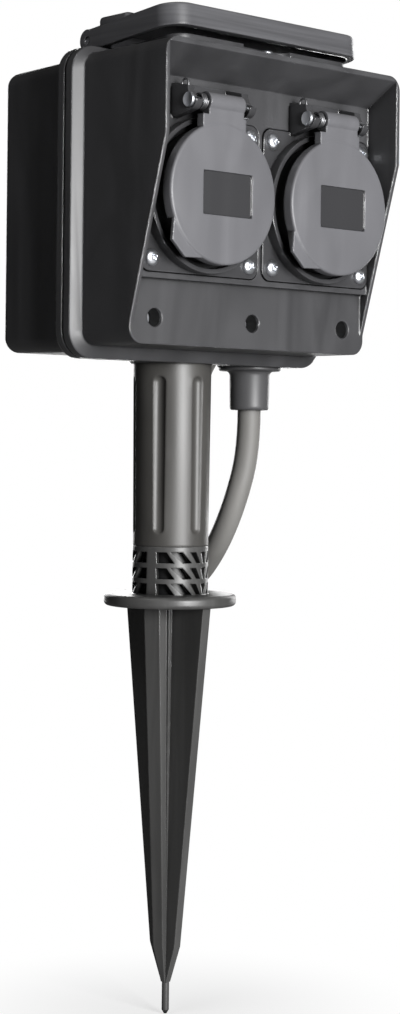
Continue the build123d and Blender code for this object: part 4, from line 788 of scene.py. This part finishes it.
# Ties: three black polyamide straps drawn tight round the turns of the coil, each with the square
# head that its tail was pulled through, on the coil's outside.
tie_plastic = moulded("tie_plastic", (0.02, 0.02, 0.02), 0.4, bump=0.05, flow=0.2, wear_and_highlight=0.2,
                      dust=0.1)
TIE_ANGLES = (150, 40, 250)
TIE_W = 4.8
TIE_T = 1.0
TIE_SLACK = 0.3
TIE_HEAD = (3.6, 4.4, 5.4)
HEAD_EDGE_R = 0.5
INSIDE_COIL = 20.0
ties_form = bmesh.new()
heads_form = bmesh.new()
threads = [(p + q) / 2 for p, q in zip(route, route[1:])]
for angle in (radians(a) for a in TIE_ANGLES):
    outward = Vector((cos(angle), 0, sin(angle)))
    along = Vector((-sin(angle), 0, cos(angle)))
    turn = along.to_track_quat("Z", "Y").to_matrix().to_4x4()
    held = []
    for p, q in zip(threads, threads[1:]):
        before, after = (p - COIL_CENTRE).dot(along), (q - COIL_CENTRE).dot(along)
        if before * after < 0:
            crossing = p.lerp(q, before / (before - after))
            if (crossing - COIL_CENTRE).dot(outward) > INSIDE_COIL:
                held.append(crossing)
    band = bmesh.new()
    reach = CORD_R / MM + TIE_SLACK
    for crossing in held:
        bmesh.ops.create_cone(band, segments=32, radius1=reach, radius2=reach, depth=TIE_W,
                              matrix=Matrix.Translation(crossing) @ turn)
    bmesh.ops.delete(band, geom=band.edges[:], context="EDGES_FACES")
    hull = bmesh.ops.convex_hull(band, input=band.verts[:])
    inner = {v for v in hull["geom_interior"] if isinstance(v, bmesh.types.BMVert)}
    bmesh.ops.delete(band, geom=list(inner), context="VERTS")
    caps = [f for f in band.faces if abs(f.normal.dot(along)) > 0.9]
    bmesh.ops.delete(band, geom=caps, context="FACES")
    bmesh.ops.dissolve_limit(band, angle_limit=radians(FLAT_ANGLE), verts=band.verts[:],
                             edges=band.edges[:])
    bmesh.ops.recalc_face_normals(band, faces=band.faces[:])
    middle = sum(held, Vector()) / len(held)
    first = band.faces[:][0]
    if first.normal.dot(first.calc_center_median() - middle) < 0:
        bmesh.ops.reverse_faces(band, faces=band.faces[:])
    held_band = bpy.data.meshes.new("band")
    band.to_mesh(held_band)
    band.free()
    ties_form.from_mesh(held_band)
    bpy.data.meshes.remove(held_band)
    outermost = max(held, key=lambda crossing: crossing.dot(outward))
    block = bmesh.ops.create_cube(heads_form, size=1)["verts"]
    bmesh.ops.scale(heads_form, vec=TIE_HEAD, verts=block)
    upright = Matrix((outward, Vector((0, 1, 0)), along)).transposed()
    bmesh.ops.rotate(heads_form, cent=(0, 0, 0), matrix=upright, verts=block)
    stand = reach + TIE_T / 2 + TIE_HEAD[0] / 2
    bmesh.ops.translate(heads_form, vec=outermost + stand * outward, verts=block)
bmesh.ops.recalc_face_normals(heads_form, faces=heads_form.faces)
bmesh.ops.bevel(heads_form, geom=heads_form.edges[:], offset=HEAD_EDGE_R, offset_type="OFFSET",
                affect="EDGES", segments=3, profile=0.5, material=-1)
ties = placed(ties_form, "coil_ties", "housing", tie_plastic, ("cord_ties",))
strap = ties.modifiers.new("strap", "SOLIDIFY")
strap.thickness = TIE_T * MM
strap.offset = 1
tie_heads = placed(heads_form, "tie_heads", "housing", tie_plastic)

# Plug: the moulded rubber plug on the cord's far end, with its two pins and its earth strips. It lies
# against the rear of the coil.
plug_rubber = moulded("plug_rubber", (0.028, 0.028, 0.029), 0.5, grain=1100.0, bump=0.15, flow=0.4,
                      wear_and_highlight=0.3, dust=0.15)
plug = finished_moulding("plug_body", "plug_moulding", "housing", plug_rubber)

# Studio: a pale floor under the spike's tip, which fades to white away from it, a low soft lamp in
# front and a little to the left, a narrow one at the right, weak ones above at the left and behind,
# and a white backdrop that only the camera sees.
FLOOR_Z = -0.1397
FLOOR_SIZE = 6.0
FADE_START = 0.55
FADE_REACH = 0.1
floor_form = bmesh.new()
bmesh.ops.create_grid(floor_form, x_segments=1, y_segments=1, size=FLOOR_SIZE)
bmesh.ops.translate(floor_form, vec=(0, 0, FLOOR_Z), verts=floor_form.verts)
floor_mesh = bpy.data.meshes.new("floor")
floor_form.to_mesh(floor_mesh)
floor_form.free()
floor = bpy.data.objects.new("floor", floor_mesh)
floor_paint = bpy.data.materials.new("floor_paint")
floor_paint.use_nodes = True
paint = floor_paint.node_tree
paint.nodes.clear()
spot = put(paint, "TexCoord")
middle = put(paint, "VectorMath", ((0, spot.outputs["Object"]), (1, (0, 0, FLOOR_Z))),
             operation="DISTANCE")
spread = put(paint, "MapRange", (("Value", middle.outputs["Value"]), ("From Min", 0.0),
                                 ("From Max", FADE_REACH), ("To Min", FADE_START)),
             interpolation_type="SMOOTHSTEP")
seen_floor = put(paint, "LightPath")
far = put(paint, "Math", ((0, spread.outputs["Result"]), (1, seen_floor.outputs["Is Camera Ray"])),
          operation="MULTIPLY")
shade = put(paint, "Mix", (("Factor", seen_floor.outputs["Is Camera Ray"]),
                           (6, (0.22, 0.22, 0.22, 1)), (7, (0.9, 0.9, 0.9, 1))),
            data_type="RGBA")
chalk = put(paint, "BsdfDiffuse", (("Color", shade.outputs[2]),))
glow = put(paint, "Emission", (("Color", (1, 1, 1, 1)), ("Strength", 1.0)))
faded = put(paint, "MixShader", ((0, far.outputs[0]), (1, chalk.outputs[0]),
                                 (2, glow.outputs[0])))
paint_out = put(paint, "OutputMaterial")
paint.links.new(faded.outputs[0], paint_out.inputs["Surface"])
floor_mesh.materials.append(floor_paint)
scene.collection.objects.link(floor)

for name, place, aim, size, power in (
    ("front_lamp", (-0.22, -1.5, 0.14), (0, 0, 0.06), (0.6, 0.6), 48.0),
    ("right_lamp", (1.2, 0.4, 0.1), (0, 0, 0.0), (0.3, 1.2), 8.0),
    ("high_lamp", (-0.8, -0.1, 1.4), (0, 0, 0.12), (0.6, 0.6), 4.0),
    ("back_lamp", (0.8, 1.3, 0.3), (0, 0, 0.06), (0.9, 0.9), 14.0),
):
    lamp_data = bpy.data.lights.new(name, "AREA")
    lamp_data.shape = "RECTANGLE"
    lamp_data.size, lamp_data.size_y = size
    lamp_data.energy = power
    lamp = bpy.data.objects.new(name, lamp_data)
    lamp.location = place
    lamp.rotation_mode = "QUATERNION"
    toward = Vector(aim) - Vector(place)
    lamp.rotation_quaternion = toward.to_track_quat("-Z", "Y")
    scene.collection.objects.link(lamp)

world = bpy.data.worlds.new("studio")
scene.world = world
world.use_nodes = True
sky = world.node_tree
sky.nodes.clear()
seen = put(sky, "LightPath")
dim = put(sky, "Background", (("Color", (1, 1, 1, 1)), ("Strength", 0.03)))
white = put(sky, "Background", (("Color", (1, 1, 1, 1)), ("Strength", 1.0)))
chosen = put(sky, "MixShader", ((0, seen.outputs["Is Camera Ray"]), (1, dim.outputs[0]),
                                (2, white.outputs[0])))
sky_out = put(sky, "OutputWorld")
sky.links.new(chosen.outputs[0], sky_out.inputs["Surface"])
scene.view_settings.view_transform = "Standard"
